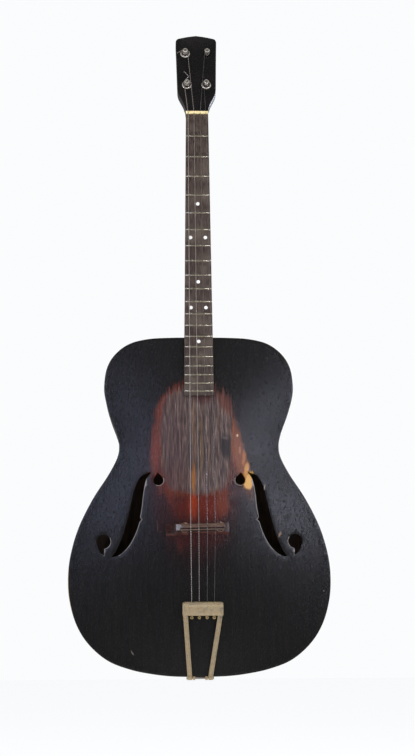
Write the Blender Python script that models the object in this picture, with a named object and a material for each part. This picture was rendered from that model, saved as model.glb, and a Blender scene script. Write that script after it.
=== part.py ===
"""Tenor guitar: a four-string archtop with f-holes, a trapeze tailpiece and friction pegs.

The instrument stands upright: +Z runs up the neck, the face looks to -Y and +X is the
player's treble side as seen from the front. The origin is under the middle of the whole
object, at the height of its lowest point, the tail hinge.

Every assembly is drawn in its own frame, with x across, y up the instrument and z out of
the face, and is put in place by that frame.
"""
import math

import bmesh
import bpy
import numpy as np
from mathutils import Matrix, Vector
from mathutils.geometry import delaunay_2d_cdt

MM = 0.001
GAP = 0.3 * MM

# Scale and frets
SCALE_LENGTH = 584.2 * MM
FRET_COUNT = 20
BODY_FRET = 14
COMPENSATION = 1.3 * MM

# Place of the body in the world
TAIL_HEIGHT = 4.1 * MM
EDGE_PLANE_Y = -30.1 * MM

# Body
RIM_DEPTH = 80.0 * MM
PLATE_THICKNESS = 4.0 * MM
ARCH_HEIGHT = 13.0 * MM
ARCH_CREST = 200.0 * MM
ARCH_LENGTH_POWER = 2.4
ARCH_SHOULDER_POWER = 1.1
ARCH_WIDTH_POWER = 1.5
PLATE_MESH_STEP = 23.0 * MM
EDGE_STATIONS = 41
RIB_THICKNESS = 2.3 * MM
LINING_WIDTH = 6.0 * MM
LINING_HEIGHT = 14.0 * MM
BLOCK_HALF_WIDTH = 34.0 * MM
NECK_BLOCK_LENGTH = 48.0 * MM
TAIL_BLOCK_LENGTH = 20.0 * MM
TONE_BAR_WIDTH = 7.0 * MM
TONE_BAR_DEPTH = 11.0 * MM

# Half of the body's outline, in mm: out from the centre line, up from the tail
OUTLINE = [
    (0, 0), (34, 0.6), (62, 3.6), (92, 9.8), (122, 21.5), (147, 42.5), (163.5, 68),
    (173, 99), (175.5, 129), (172.5, 160), (162, 197), (143.5, 235), (123, 267),
    (111, 290), (108, 306), (111, 323), (120.5, 349), (127, 372), (128.6, 390),
    (125, 414), (114, 433), (95, 447.5), (70, 454.3), (40, 456.3), (0, 456.6),
]

# One f-hole, in mm, as three openings: the slot, the eye near the centre and the outer eye
SLOT_OUTER_EDGE = [
    (64.8, 271.2), (78.0, 265.6), (86.5, 249.6), (91.0, 231.2), (95.3, 212.1),
    (99.8, 194.9), (104.4, 181.2), (111.5, 165.4),
]
SLOT_INNER_EDGE = [
    (117.4, 158.0), (107.0, 160.4), (96.5, 169.6), (89.0, 181.2), (83.4, 193.9),
    (80.4, 204.0), (77.2, 207.2), (79.4, 210.2), (77.3, 223.6), (74.7, 246.2), (71.2, 261.6),
]
UPPER_EYE_CENTRE = (54.9, 259.8)
UPPER_EYE_RADIUS = 6.8
UPPER_EYE_CUSP = (55.8, 270.3)
LOWER_EYE_CENTRE = (128.3, 178.4)
LOWER_EYE_RADIUS = 9.5
LOWER_EYE_TAIL = [(127.2, 169.0), (127.4, 159.3), (132.4, 164.0), (136.2, 170.5)]

# Neck
NECK_PITCH = math.radians(3.8)
BOARD_ABOVE_EDGE = 9.0 * MM
BOARD_THICKNESS = 6.0 * MM
BOARD_LENGTH = 406.5 * MM
NUT_WIDTH = 31.5 * MM
JOINT_WIDTH = 38.6 * MM
SHAFT_DEPTH_AT_NUT = 13.5 * MM
SHAFT_DEPTH_AT_HEEL = 17.5 * MM
HEEL_LENGTH_AT_BOARD = 46.0 * MM
HEEL_LENGTH_AT_CAP = 17.0 * MM
HEEL_WIDTH_AT_CAP = 27.0 * MM
HEEL_CAP_THICKNESS = 3.0 * MM
TENON_LENGTH = 18.0 * MM
TENON_HALF_NECK = 10.0 * MM
TENON_HALF_TAIL = 13.5 * MM
REINFORCEMENT_WIDTH = 5.4 * MM
REINFORCEMENT_HEIGHT = 8.0 * MM
REINFORCEMENT_LENGTH = 286.0 * MM

# Frets and nut
FRET_WIDTH = 2.4 * MM
FRET_HEIGHT = 1.0 * MM
FRET_SEAT = 0.4 * MM
NUT_THICKNESS = 4.5 * MM
NUT_TOP = 2.4 * MM

# Headstock, in mm where it is an outline: half width and distance above the nut
HEAD_TILT = math.radians(13.0)
HEAD_THICKNESS = 14.0 * MM
HEAD_FACE_BELOW_BOARD = 5.0 * MM
HEAD_OUTLINE = [
    (15.9, 0.4), (16.3, 5.9), (17.6, 11.0), (19.2, 16.3), (21.4, 21.5), (23.8, 26.6),
    (26.0, 32.0), (27.2, 38.0), (27.5, 44.0), (29.4, 121.5), (29.0, 126.0), (27.0, 129.4),
    (23.0, 130.9), (12.0, 133.6), (0, 135.5),
]

# Strings and pegs, from the lowest note to the highest
ACTION_AT_NUT = 2.0 * MM
ACTION_AT_SADDLE = 6.0 * MM
STRINGS = {
    "c": {"diameter": 0.95, "nut": -12.6, "saddle": -12.3, "tail": -11.0,
          "peg": (-13.8, 47.8), "side": -1, "turn": 765, "ferrule": True,
          "cut_end": [(-0.4, 5.4, 7.9), (2.4, 8.4, 8.2), (-0.6, 12.8, 8.5), (-4.0, 17.2, 8.7)]},
    "g": {"diameter": 0.72, "nut": -4.4, "saddle": -1.6, "tail": -1.1,
          "peg": (-15.8, 103.0), "side": 1, "turn": 850, "ferrule": True,
          "cut_end": [(-5.6, 0.8, 6.2), (-8.6, -1.7, 6.6), (-11.6, -4.2, 7.0)]},
    "d": {"diameter": 0.42, "nut": 4.4, "saddle": 9.7, "tail": 9.2,
          "peg": (15.8, 103.0), "side": -1, "turn": 790, "ferrule": False, "cut_end": []},
    "a": {"diameter": 0.35, "nut": 12.2, "saddle": 20.3, "tail": 18.6,
          "peg": (13.8, 47.8), "side": -1, "turn": 820, "ferrule": True, "cut_end": []},
}
WINDING_START = 2.7 * MM
WINDING_GAP = 0.5 * MM
POINTS_PER_LOOP = 24
POST_RADIUS = 3.0 * MM
POST_TOP = 9.6 * MM
POST_SHAFT_RADIUS = 3.2 * MM
PEG_HOLE_RADIUS = 5.1 * MM
FERRULE_RADIUS = 7.0 * MM
SLEEVE_RADIUS = 4.7 * MM
BUTTON_START = 16.6 * MM
BUTTON_END = 33.0 * MM

# Bridge, in its own frame: heights are above the plane of the top plate's edge
BRIDGE_SLANT = math.radians(1.2)
BRIDGE_BASE_SPAN = (-45.4 * MM, 39.6 * MM)
BRIDGE_BASE_PLATEAU = (-35.2 * MM, 32.4 * MM)
BRIDGE_BASE_TOP = 19.8 * MM
BRIDGE_WING_TOP = 16.0 * MM
BRIDGE_BASE_THICKNESS = 12.4 * MM
BRIDGE_FOOT_GAP = (-15.7 * MM, 10.3 * MM)
BRIDGE_FOOT_GAP_HEIGHT = 2.2 * MM
SADDLE_SPAN = (-31.9 * MM, 32.6 * MM)
SADDLE_BOTTOM = 24.0 * MM
SADDLE_SHOULDER = 29.4 * MM
SADDLE_TOP = 32.0 * MM
SADDLE_THICKNESS = 8.6 * MM
WHEEL_X = (-20.1 * MM, 27.0 * MM)
WHEEL_RADIUS = 6.7 * MM
WHEEL_BOTTOM = 21.2 * MM
WHEEL_TOP = 23.7 * MM
BRIDGE_POST_RADIUS = 1.7 * MM
BRIDGE_POST_SPAN = (15.9 * MM, 28.2 * MM)

# Tailpiece, in its own frame: y runs from the hinge pin towards the bridge
HINGE_BELOW_TAIL = 1.6 * MM
HINGE_ABOVE_EDGE = 2.4 * MM
HINGE_PIN_RADIUS = 1.2 * MM
KNUCKLE_RADIUS = 2.5 * MM
KNUCKLE_BORE = 1.55 * MM
ARM_WIDTH = 6.3 * MM
ARM_FOOT_X = 13.8 * MM
ARM_HEAD_X = 23.2 * MM
PLATE_CENTRE_X = 3.6 * MM
PLATE_HALF_WIDTH = 26.8 * MM
PLATE_SHEET = 0.9 * MM
PLATE_START = 82.9 * MM
PLATE_END = 100.0 * MM
BALL_RADIUS = 2.2 * MM
BALL_LENGTH = 3.2 * MM
BRACKET_HALF_WIDTH = 16.0 * MM
BRACKET_LENGTH = 42.0 * MM
BRACKET_SHEET = 1.4 * MM
BRACKET_EYES = (6.6 * MM, 9.9 * MM)
BRACKET_SCREWS = [(-9.5, -12.0), (9.5, -12.0), (0.0, -36.0)]
STRAP_HOLE = (0.0, -22.5)


def fret_distance(number):
    """Distance from the nut to a fret."""
    return SCALE_LENGTH * (1.0 - 2.0 ** (-number / 12.0))


def board_width(distance):
    """Width of the fingerboard at a distance from the nut."""
    return NUT_WIDTH + (JOINT_WIDTH - NUT_WIDTH) * distance / fret_distance(BODY_FRET)


BODY_LENGTH = OUTLINE[-1][1] * MM
BODY_FRAME = (Matrix.Translation((0.0, EDGE_PLANE_Y, TAIL_HEIGHT))
              @ Matrix.Rotation(math.radians(90), 4, "X"))
NECK_FRAME = (BODY_FRAME
              @ Matrix.Translation((0.0, BODY_LENGTH, BOARD_ABOVE_EDGE))
              @ Matrix.Rotation(-NECK_PITCH, 4, "X")
              @ Matrix.Translation((0.0, fret_distance(BODY_FRET), 0.0)))
HEAD_FRAME = (NECK_FRAME
              @ Matrix.Translation((0.0, NUT_THICKNESS, -HEAD_FACE_BELOW_BOARD))
              @ Matrix.Rotation(-HEAD_TILT, 4, "X"))
SADDLE_POINT = (BODY_FRAME.inverted() @ NECK_FRAME
                @ Vector((0.0, -SCALE_LENGTH - COMPENSATION, ACTION_AT_SADDLE)))
BRIDGE_FRAME = (BODY_FRAME
                @ Matrix.Translation((0.0, SADDLE_POINT.y, 0.0))
                @ Matrix.Rotation(BRIDGE_SLANT, 4, "Z"))
HINGE_FRAME = BODY_FRAME @ Matrix.Translation((0.0, -HINGE_BELOW_TAIL, HINGE_ABOVE_EDGE))
TAILPIECE_TILT = math.atan2(SADDLE_POINT.z - HINGE_ABOVE_EDGE, SADDLE_POINT.y + HINGE_BELOW_TAIL)
TAILPIECE_FRAME = HINGE_FRAME @ Matrix.Rotation(TAILPIECE_TILT, 4, "X")


def peg_frame(name):
    """Frame of one peg: its origin on the headstock's face and z out along the peg."""
    across, up = STRINGS[name]["peg"]
    return HEAD_FRAME @ Matrix.Translation((across * MM, up * MM, 0.0))


def millimetres(points):
    """Points given in mm, in metres."""
    return [tuple(value * MM for value in point) for point in points]


def material(name, colour, roughness, metallic=0.0):
    """A plain Principled material."""
    made = bpy.data.materials.new(name)
    made.use_nodes = True
    shader = made.node_tree.nodes["Principled BSDF"]
    shader.inputs["Base Color"].default_value = (*colour, 1.0)
    shader.inputs["Roughness"].default_value = roughness
    shader.inputs["Metallic"].default_value = metallic
    made.diffuse_color = (*colour, 1.0)
    return made


def make_object(name, bm, finish, frame=BODY_FRAME):
    """Turn a bmesh drawn in a frame into an object placed by that frame."""
    bmesh.ops.recalc_face_normals(bm, faces=bm.faces)
    mesh = bpy.data.meshes.new(name)
    bm.to_mesh(mesh)
    bm.free()
    mesh.shade_smooth()
    mesh.set_sharp_from_angle(angle=math.radians(35))
    mesh.materials.append(finish)
    made = bpy.data.objects.new(name, mesh)
    made.matrix_world = frame
    bpy.context.scene.collection.objects.link(made)
    return made


def boolean(target, tool, operation):
    """Join a tool to a target, or cut the target with it, and leave the tool out of the build."""
    tool.hide_render = True
    tool.display_type = "WIRE"
    modifier = target.modifiers.new(tool.name, "BOOLEAN")
    modifier.operation = operation
    modifier.solver = "EXACT"
    modifier.object = tool


def bevel(target, width, angle=50):
    """Take the sharp edges off a finished piece."""
    modifier = target.modifiers.new("edges", "BEVEL")
    modifier.width = width
    modifier.segments = 1
    modifier.limit_method = "ANGLE"
    modifier.angle_limit = math.radians(angle)


def add_prism(bm, polygon, low, high, axis="z"):
    """Add a polygon pushed along one axis between two levels."""
    def place(point, level):
        a, b = point
        return {"z": (a, b, level), "x": (level, a, b), "y": (a, level, b)}[axis]
    near = [bm.verts.new(place(point, low)) for point in polygon]
    far = [bm.verts.new(place(point, high)) for point in polygon]
    bm.faces.new(near)
    bm.faces.new(far[::-1])
    for index in range(len(polygon)):
        after = (index + 1) % len(polygon)
        bm.faces.new((near[index], far[index], far[after], near[after]))
    return bm


def add_box(bm, low, high):
    """Add a box between two corners."""
    outline = [(low[0], low[1]), (high[0], low[1]), (high[0], high[1]), (low[0], high[1])]
    return add_prism(bm, outline, low[2], high[2])


def add_turned(bm, profile, segments, ring=False, offset=(0.0, 0.0, 0.0), axis="z"):
    """Add a profile of radius and height turned round an axis; a ring has a bore."""
    def place(radius, height, angle):
        a = radius * math.cos(angle)
        b = radius * math.sin(angle)
        local = {"z": (a, b, height), "x": (height, a, b), "y": (b, height, a)}[axis]
        return Vector(local) + Vector(offset)
    rows = []
    for radius, height in profile:
        steps = segments if radius > 0 else 1
        rows.append([bm.verts.new(place(radius, height, 2 * math.pi * step / segments))
                     for step in range(steps)])
    pairs = list(zip(rows, rows[1:]))
    if ring:
        pairs.append((rows[-1], rows[0]))
    for upper, lower in pairs:
        for step in range(segments):
            after = (step + 1) % segments
            corners = [upper[step % len(upper)], upper[after % len(upper)],
                       lower[after % len(lower)], lower[step % len(lower)]]
            unique = list(dict.fromkeys(corners))
            if len(unique) > 2:
                bm.faces.new(unique)
    return bm


def add_loft(bm, sections):
    """Add a solid through a row of sections with the same number of points."""
    rows = [[bm.verts.new(point) for point in section] for section in sections]
    for first, second in zip(rows, rows[1:]):
        for index in range(len(first)):
            after = (index + 1) % len(first)
            bm.faces.new((first[index], first[after], second[after], second[index]))
    bm.faces.new(rows[0][::-1])
    bm.faces.new(rows[-1])
    return bm


def spline(points, steps):
    """A smooth curve through the points; the first and last only guide it."""
    points = np.array(points, dtype=float)
    curve = []
    for before, start, end, after in zip(points, points[1:], points[2:], points[3:]):
        for step in range(steps):
            t = step / steps
            curve.append(0.5 * (2 * start + (end - before) * t
                                + (2 * before - 5 * start + 4 * end - after) * t * t
                                + (3 * start - before - 3 * end + after) * t ** 3))
    curve.append(points[-2])
    return np.array(curve)


def half_outline():
    """The treble half of the body's outline from the tail to the neck, in metres."""
    mirrored_tail = (-OUTLINE[1][0], OUTLINE[1][1])
    mirrored_neck = (-OUTLINE[-2][0], OUTLINE[-2][1])
    return spline([mirrored_tail, *OUTLINE, mirrored_neck], 8) * MM


HALF_OUTLINE = half_outline()


def half_width(height):
    """Half of the body's width at a height above the tail."""
    return np.interp(height, HALF_OUTLINE[:, 1], HALF_OUTLINE[:, 0])


def arch(across, height):
    """How far a plate stands above its edge plane, from its crest at the bridge."""
    reach = np.where(height > ARCH_CREST, BODY_LENGTH - ARCH_CREST, ARCH_CREST)
    along = np.clip(np.abs(height - ARCH_CREST) / reach, 0.0, 1.0)
    aside = np.clip(np.abs(across) / np.maximum(half_width(height), 1e-6), 0.0, 1.0)
    length_curve = (1.0 - along ** ARCH_LENGTH_POWER) ** ARCH_SHOULDER_POWER
    width_curve = (1.0 - aside ** 2) ** ARCH_WIDTH_POWER
    return ARCH_HEIGHT * length_curve * width_curve


def edge_curve(inset):
    """The treble half of the outline moved inwards, at equal steps from tail to neck."""
    tangent = np.gradient(HALF_OUTLINE, axis=0)
    tangent /= np.linalg.norm(tangent, axis=1)[:, None]
    curve = HALF_OUTLINE + np.stack([-tangent[:, 1], tangent[:, 0]], axis=1) * inset
    steps = np.linalg.norm(np.diff(HALF_OUTLINE, axis=0), axis=1)
    travelled = np.concatenate([[0.0], np.cumsum(steps)])
    wanted = np.linspace(0.0, travelled[-1], EDGE_STATIONS)
    return np.stack([np.interp(wanted, travelled, curve[:, axis]) for axis in (0, 1)], axis=1)


def end_point(curve, across):
    """Where a half curve, followed away from the centre line, is this far from it."""
    rising = int(np.argmax(np.diff(curve[:, 0]) <= 0)) + 1
    return [across, np.interp(across, curve[:rising, 0], curve[:rising, 1])]


def trimmed(curve, at_tail, at_neck):
    """A half curve cut off at a distance from the centre line at its tail and neck ends."""
    limit = np.where(curve[:, 1] < BODY_LENGTH / 2, at_tail, at_neck)
    return np.vstack([end_point(curve, at_tail), curve[curve[:, 0] > limit],
                      end_point(curve[::-1], at_neck)])


def arc(centre, radius, start, end, count):
    """Points on an arc, angles in degrees."""
    angles = np.radians(np.linspace(start, end, count))
    return [(centre[0] + radius * math.cos(angle), centre[1] + radius * math.sin(angle))
            for angle in angles]


def f_hole_openings(side):
    """The three openings of the f-hole on one side, as polygons in metres."""
    slot = SLOT_OUTER_EDGE + SLOT_INNER_EDGE
    upper_eye = [UPPER_EYE_CUSP] + arc(UPPER_EYE_CENTRE, UPPER_EYE_RADIUS, 150, 395, 9)
    lower_eye = LOWER_EYE_TAIL + arc(LOWER_EYE_CENTRE, LOWER_EYE_RADIUS, -25, 250, 10)
    return [[(side * x, y) for x, y in millimetres(shape)]
            for shape in (slot, upper_eye, lower_eye)]


def inside(point, polygon):
    """Whether a point lies inside a polygon."""
    x, y = point
    result = False
    for (x1, y1), (x2, y2) in zip(polygon, polygon[1:] + polygon[:1]):
        if (y1 > y) != (y2 > y) and x < (x2 - x1) * (y - y1) / (y2 - y1) + x1:
            result = not result
    return result


def distance_to(point, polygon):
    """Least distance from a point to a polygon's corners."""
    return min(math.dist(point, corner) for corner in polygon)


def plate_triangles(openings):
    """Flat triangles that fill the body's outline around the openings."""
    half = edge_curve(0.0)
    outline = [tuple(point) for point in half]
    outline += [(-x, y) for x, y in half[-2:0:-1]]
    loops = [outline] + openings
    points = [Vector(point) for loop in loops for point in loop]
    edges = []
    for loop in loops:
        first = len(edges)
        edges += [(first + i, first + (i + 1) % len(loop)) for i in range(len(loop))]
    row_step = PLATE_MESH_STEP * math.sqrt(3) / 2
    for row in range(1, int(BODY_LENGTH / row_step) + 1):
        shift = 0.5 * (row % 2)
        for column in range(-9, 10):
            point = ((column + shift) * PLATE_MESH_STEP, row * row_step)
            clear = min(distance_to(point, loop) for loop in loops) > 0.45 * PLATE_MESH_STEP
            if clear and inside(point, outline) and not any(inside(point, h) for h in openings):
                points.append(Vector(point))
    result = delaunay_2d_cdt(points, edges, [], 1, 1e-7)
    corners = [tuple(point) for point in result[0]]
    triangles = []
    for triangle in result[2]:
        middle = np.mean([corners[index] for index in triangle], axis=0)
        if inside(middle, outline) and not any(inside(middle, hole) for hole in openings):
            triangles.append(tuple(triangle))
    return np.array(corners), triangles


def add_plate(bm, openings, outer, inner):
    """Add an arched plate between two height functions."""
    corners, triangles = plate_triangles(openings)
    across, height = corners[:, 0], corners[:, 1]
    layers = []
    for surface in (outer, inner):
        levels = surface(across, height)
        layers.append([bm.verts.new((x, y, z)) for x, y, z in zip(across, height, levels)])
    seen = {}
    for triangle in triangles:
        bm.faces.new([layers[0][index] for index in triangle])
        bm.faces.new([layers[1][index] for index in reversed(triangle)])
        for start, end in zip(triangle, triangle[1:] + triangle[:1]):
            seen.setdefault(frozenset((start, end)), []).append((start, end))
    for uses in seen.values():
        if len(uses) == 1:
            start, end = uses[0]
            bm.faces.new((layers[0][end], layers[0][start], layers[1][start], layers[1][end]))
    loose = [vertex for vertex in bm.verts if not vertex.link_faces]
    bmesh.ops.delete(bm, geom=loose, context="VERTS")
    return bm


def make_plates(wood):
    """The arched top with its f-holes and the arched back."""
    openings = f_hole_openings(-1) + f_hole_openings(1)
    make_object("top_plate", add_plate(
        bmesh.new(), openings, arch, lambda x, y: arch(x, y) - PLATE_THICKNESS), wood)
    make_object("back_plate", add_plate(
        bmesh.new(), [],
        lambda x, y: -RIM_DEPTH - arch(x, y),
        lambda x, y: PLATE_THICKNESS - RIM_DEPTH - arch(x, y)), wood)


def strip_between(outer, inner, low, high, side):
    """A bent strip between two curves, for ribs and linings."""
    bm = bmesh.new()
    sections = []
    for (x1, y1), (x2, y2) in zip(outer, inner):
        sections.append([(side * x1, y1, low), (side * x1, y1, high),
                         (side * x2, y2, high), (side * x2, y2, low)])
    return add_loft(bm, sections)


def screw_pilots():
    """Cylinders that cut the tail's screw holes through ribs and block."""
    bm = bmesh.new()
    for across, level in millimetres(BRACKET_SCREWS):
        add_turned(bm, [(0, 12 * MM), (1.8 * MM, 12 * MM), (1.8 * MM, -6 * MM), (0, -6 * MM)], 10,
                   offset=(across, 0.0, level), axis="y")
    return bm


def make_ribs(wood):
    """The two bent sides, which meet at the tail and stop at the neck's tenon."""
    ends = (GAP / 2, TENON_HALF_NECK + 3 * GAP)
    outer = trimmed(edge_curve(0.0), *ends)
    inner = trimmed(edge_curve(RIB_THICKNESS), *ends)
    low = -RIM_DEPTH + PLATE_THICKNESS + GAP
    high = -PLATE_THICKNESS - GAP
    pilots = make_object("pilot_cutter", screw_pilots(), wood)
    for name, side in (("rib_bass", -1), ("rib_treble", 1)):
        rib = make_object(name, strip_between(outer, inner, low, high, side), wood)
        boolean(rib, pilots, "DIFFERENCE")
    return pilots


def make_linings(wood):
    """Four lining strips that widen the glue joint between ribs and plates."""
    ends = (BLOCK_HALF_WIDTH + 4 * GAP, BLOCK_HALF_WIDTH + 4 * GAP)
    outer = trimmed(edge_curve(RIB_THICKNESS + GAP), *ends)
    inner = trimmed(edge_curve(RIB_THICKNESS + GAP + LINING_WIDTH), *ends)
    top = -PLATE_THICKNESS - GAP
    back = -RIM_DEPTH + PLATE_THICKNESS + GAP
    for side_name, side in (("bass", -1), ("treble", 1)):
        make_object("top_lining_" + side_name,
                    strip_between(outer, inner, top - LINING_HEIGHT, top, side), wood)
        make_object("back_lining_" + side_name,
                    strip_between(outer, inner, back, back + LINING_HEIGHT, side), wood)


def tenon_half(level):
    """Half width of the neck's dovetail at a height above the tail."""
    share = (BODY_LENGTH - level) / TENON_LENGTH
    return TENON_HALF_NECK + (TENON_HALF_TAIL - TENON_HALF_NECK) * share


def block_edge(curve):
    """The outer edge of a block, along the start of a half curve, from bass to treble."""
    rising = int(np.argmax(curve[:, 0] > BLOCK_HALF_WIDTH))
    half = [tuple(point) for point in curve[1:rising]] + [end_point(curve, BLOCK_HALF_WIDTH)]
    return [(-x, y) for x, y in half[::-1]] + [(x, y) for x, y in half]


def make_blocks(wood, pilots):
    """The neck block, with the mortise for the neck's dovetail, and the tail block."""
    low = -RIM_DEPTH + PLATE_THICKNESS + GAP
    high = -PLATE_THICKNESS - GAP
    inside_ribs = edge_curve(RIB_THICKNESS + GAP)
    neck_edge = block_edge(inside_ribs[::-1])
    mortise_end = BODY_LENGTH - TENON_LENGTH - GAP
    mouth_end = BODY_LENGTH - RIB_THICKNESS - 2 * GAP
    level = min(y for _, y in neck_edge)
    mouth = tenon_half(mouth_end) + GAP
    root = tenon_half(mortise_end) + GAP
    polygon = ([(x, y) for x, y in neck_edge if x < -mouth]
               + [(-mouth, mouth_end), (-root, mortise_end), (root, mortise_end),
                  (mouth, mouth_end)]
               + [(x, y) for x, y in neck_edge if x > mouth]
               + [(neck_edge[-1][0], level - NECK_BLOCK_LENGTH),
                  (neck_edge[0][0], level - NECK_BLOCK_LENGTH)])
    make_object("neck_block", add_prism(bmesh.new(), polygon, low, high), wood)
    tail_edge = block_edge(inside_ribs)
    level = max(y for _, y in tail_edge)
    polygon = tail_edge + [(tail_edge[-1][0], level + TAIL_BLOCK_LENGTH),
                           (tail_edge[0][0], level + TAIL_BLOCK_LENGTH)]
    block = make_object("tail_block", add_prism(bmesh.new(), polygon, low, high), wood)
    boolean(block, pilots, "DIFFERENCE")


def make_tone_bars(wood):
    """Two bars under the top, fitted to its arch and tapered to their ends."""
    for name, side in (("tone_bar_bass", -1), ("tone_bar_treble", 1)):
        sections = []
        for share in np.linspace(0.0, 1.0, 13):
            height = (92.0 + 292.0 * share) * MM
            across = (41.0 - 9.0 * share) * MM
            depth = TONE_BAR_DEPTH * (0.3 + 0.7 * math.sin(math.pi * share) ** 0.6)
            left = side * across - TONE_BAR_WIDTH / 2
            right = side * across + TONE_BAR_WIDTH / 2
            under = [float(arch(x, height)) - PLATE_THICKNESS - GAP for x in (left, right)]
            foot = min(under) - depth
            sections.append([(left, height, under[0]), (right, height, under[1]),
                             (right, height, foot), (left, height, foot)])
        make_object(name, add_loft(bmesh.new(), sections), wood)


def neck_section(distance, depth, width, level=None):
    """A half-round section of the neck's shaft; with a level it ends on the body's plane."""
    top = -BOARD_THICKNESS - GAP
    points = []
    for step in range(11):
        angle = math.pi * step / 10
        across = width / 2 * math.cos(angle)
        lift = top - depth * math.sin(angle) ** 0.8
        along = -distance
        if level is not None:
            along = (level - lift * math.sin(NECK_PITCH)) / math.cos(NECK_PITCH)
            along -= fret_distance(BODY_FRET)
        points.append((across, along, lift))
    return points


def shaft_mesh():
    """The neck's shaft from under the nut to the body."""
    joint = fret_distance(BODY_FRET)
    stations = [-8 * MM, 12 * MM, 90 * MM, 180 * MM, 260 * MM]
    sections = []
    for distance in stations:
        share = max(distance, 0.0) / joint
        depth = SHAFT_DEPTH_AT_NUT + (SHAFT_DEPTH_AT_HEEL - SHAFT_DEPTH_AT_NUT) * share
        sections.append(neck_section(distance, depth, board_width(max(distance, 0.0))))
    sections.append(neck_section(joint, SHAFT_DEPTH_AT_HEEL, JOINT_WIDTH, GAP))
    return add_loft(bmesh.new(), sections)


def heel_mesh():
    """The heel, from the shaft down to the back plate, drawn in the body's frame."""
    sections = []
    start = -6.0 * MM
    end = -RIM_DEPTH + HEEL_CAP_THICKNESS + GAP
    for share in np.linspace(0.0, 1.0, 8):
        level = start + (end - start) * share
        length = HEEL_LENGTH_AT_CAP + (HEEL_LENGTH_AT_BOARD - HEEL_LENGTH_AT_CAP) * (1 - share) ** 3
        width = JOINT_WIDTH - 0.6 * MM + (HEEL_WIDTH_AT_CAP - JOINT_WIDTH) * share ** 0.7
        sections.append([(width / 2 * math.cos(math.pi * step / 10),
                          BODY_LENGTH + GAP + length * math.sin(math.pi * step / 10) ** 0.8,
                          level) for step in range(11)])
    return add_loft(bmesh.new(), sections)


def tenon_mesh():
    """The dovetail that locks the heel into the neck block."""
    start = BODY_LENGTH + 2 * MM
    end = BODY_LENGTH - TENON_LENGTH
    outline = [(-tenon_half(start), start), (-tenon_half(end), end),
               (tenon_half(end), end), (tenon_half(start), start)]
    return add_prism(bmesh.new(), outline, -RIM_DEPTH + 8 * MM, -6 * MM)


def tongue_mesh():
    """The wedge of neck wood that carries the fingerboard over the top plate."""
    joint = fret_distance(BODY_FRET)
    under_board = -BOARD_THICKNESS - GAP
    length = 50 * MM
    half = JOINT_WIDTH / 2 - 1.5 * MM
    side = [(-joint + 3 * MM, under_board), (-joint - length, under_board),
            (-joint - length, under_board - 0.8 * MM), (-joint - 0.5 * MM, under_board - 2.1 * MM),
            (-joint + 3 * MM, under_board - 2.1 * MM)]
    return add_prism(bmesh.new(), side, -half, half, "x")


def make_neck(wood, steel, cap):
    """Shaft, heel, dovetail, headstock and the steel bar inside."""
    neck = make_object("neck", shaft_mesh(), wood, NECK_FRAME)
    boolean(neck, make_object("heel_part", heel_mesh(), wood), "UNION")
    boolean(neck, make_object("tongue_part", tongue_mesh(), wood, NECK_FRAME), "UNION")
    head_side = millimetres(HEAD_OUTLINE)
    outline = head_side + [(-x, y) for x, y in head_side[-2::-1]]
    head = add_prism(bmesh.new(), outline, -HEAD_THICKNESS, 0.0)
    boolean(neck, make_object("head_part", head, wood, HEAD_FRAME), "UNION")
    boolean(neck, make_object("tenon_part", tenon_mesh(), wood), "UNION")
    holes = bmesh.new()
    for string in STRINGS.values():
        across, up = string["peg"]
        profile = [(0, 3 * MM), (PEG_HOLE_RADIUS, 3 * MM),
                   (PEG_HOLE_RADIUS, -HEAD_THICKNESS - 3 * MM), (0, -HEAD_THICKNESS - 3 * MM)]
        add_turned(holes, profile, 16, offset=(across * MM, up * MM, 0.0))
    boolean(neck, make_object("peg_hole_cutter", holes, wood, HEAD_FRAME), "DIFFERENCE")
    top = -BOARD_THICKNESS - GAP
    start = -14 * MM
    half = REINFORCEMENT_WIDTH / 2
    bar = add_box(bmesh.new(), (-half, start - REINFORCEMENT_LENGTH, top - REINFORCEMENT_HEIGHT),
                  (half, start, top))
    channel = add_box(bmesh.new(),
                      (-half - GAP, start - REINFORCEMENT_LENGTH - GAP,
                       top - REINFORCEMENT_HEIGHT - GAP),
                      (half + GAP, start + GAP, top + 4 * MM))
    boolean(neck, make_object("channel_cutter", channel, wood, NECK_FRAME), "DIFFERENCE")
    make_object("neck_reinforcement", bar, steel, NECK_FRAME)
    cap_outline = [(HEEL_WIDTH_AT_CAP / 2 * math.cos(math.pi * step / 10),
                    BODY_LENGTH + GAP
                    + HEEL_LENGTH_AT_CAP * math.sin(math.pi * step / 10) ** 0.8)
                   for step in range(11)]
    make_object("heel_cap", add_prism(bmesh.new(), cap_outline, -RIM_DEPTH,
                                      -RIM_DEPTH + HEEL_CAP_THICKNESS), cap)


def make_fingerboard(wood):
    """The fingerboard and the crowns of its frets, as one body."""
    outline = [(board_width(distance) / 2 * side, -distance)
               for distance, side in ((0, -1), (BOARD_LENGTH, -1), (BOARD_LENGTH, 1), (0, 1))]
    board = make_object("fingerboard", add_prism(bmesh.new(), outline, -BOARD_THICKNESS, 0.0),
                        wood, NECK_FRAME)
    half = FRET_WIDTH / 2
    crown = [(half * math.cos(angle), FRET_HEIGHT * math.sin(angle) ** 0.8)
             for angle in np.radians([0, 45, 90, 135, 180])]
    section = crown + [(-half, -FRET_SEAT), (half, -FRET_SEAT)]
    frets = bmesh.new()
    for number in range(1, FRET_COUNT + 1):
        place = fret_distance(number)
        reach = board_width(place) / 2 - FRET_SEAT
        add_prism(frets, [(along - place, lift) for along, lift in section], -reach, reach, "x")
    boolean(board, make_object("fret_crowns", frets, wood, NECK_FRAME), "UNION")


def string_radius(name):
    """Radius of one string."""
    return STRINGS[name]["diameter"] * MM / 2


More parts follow.
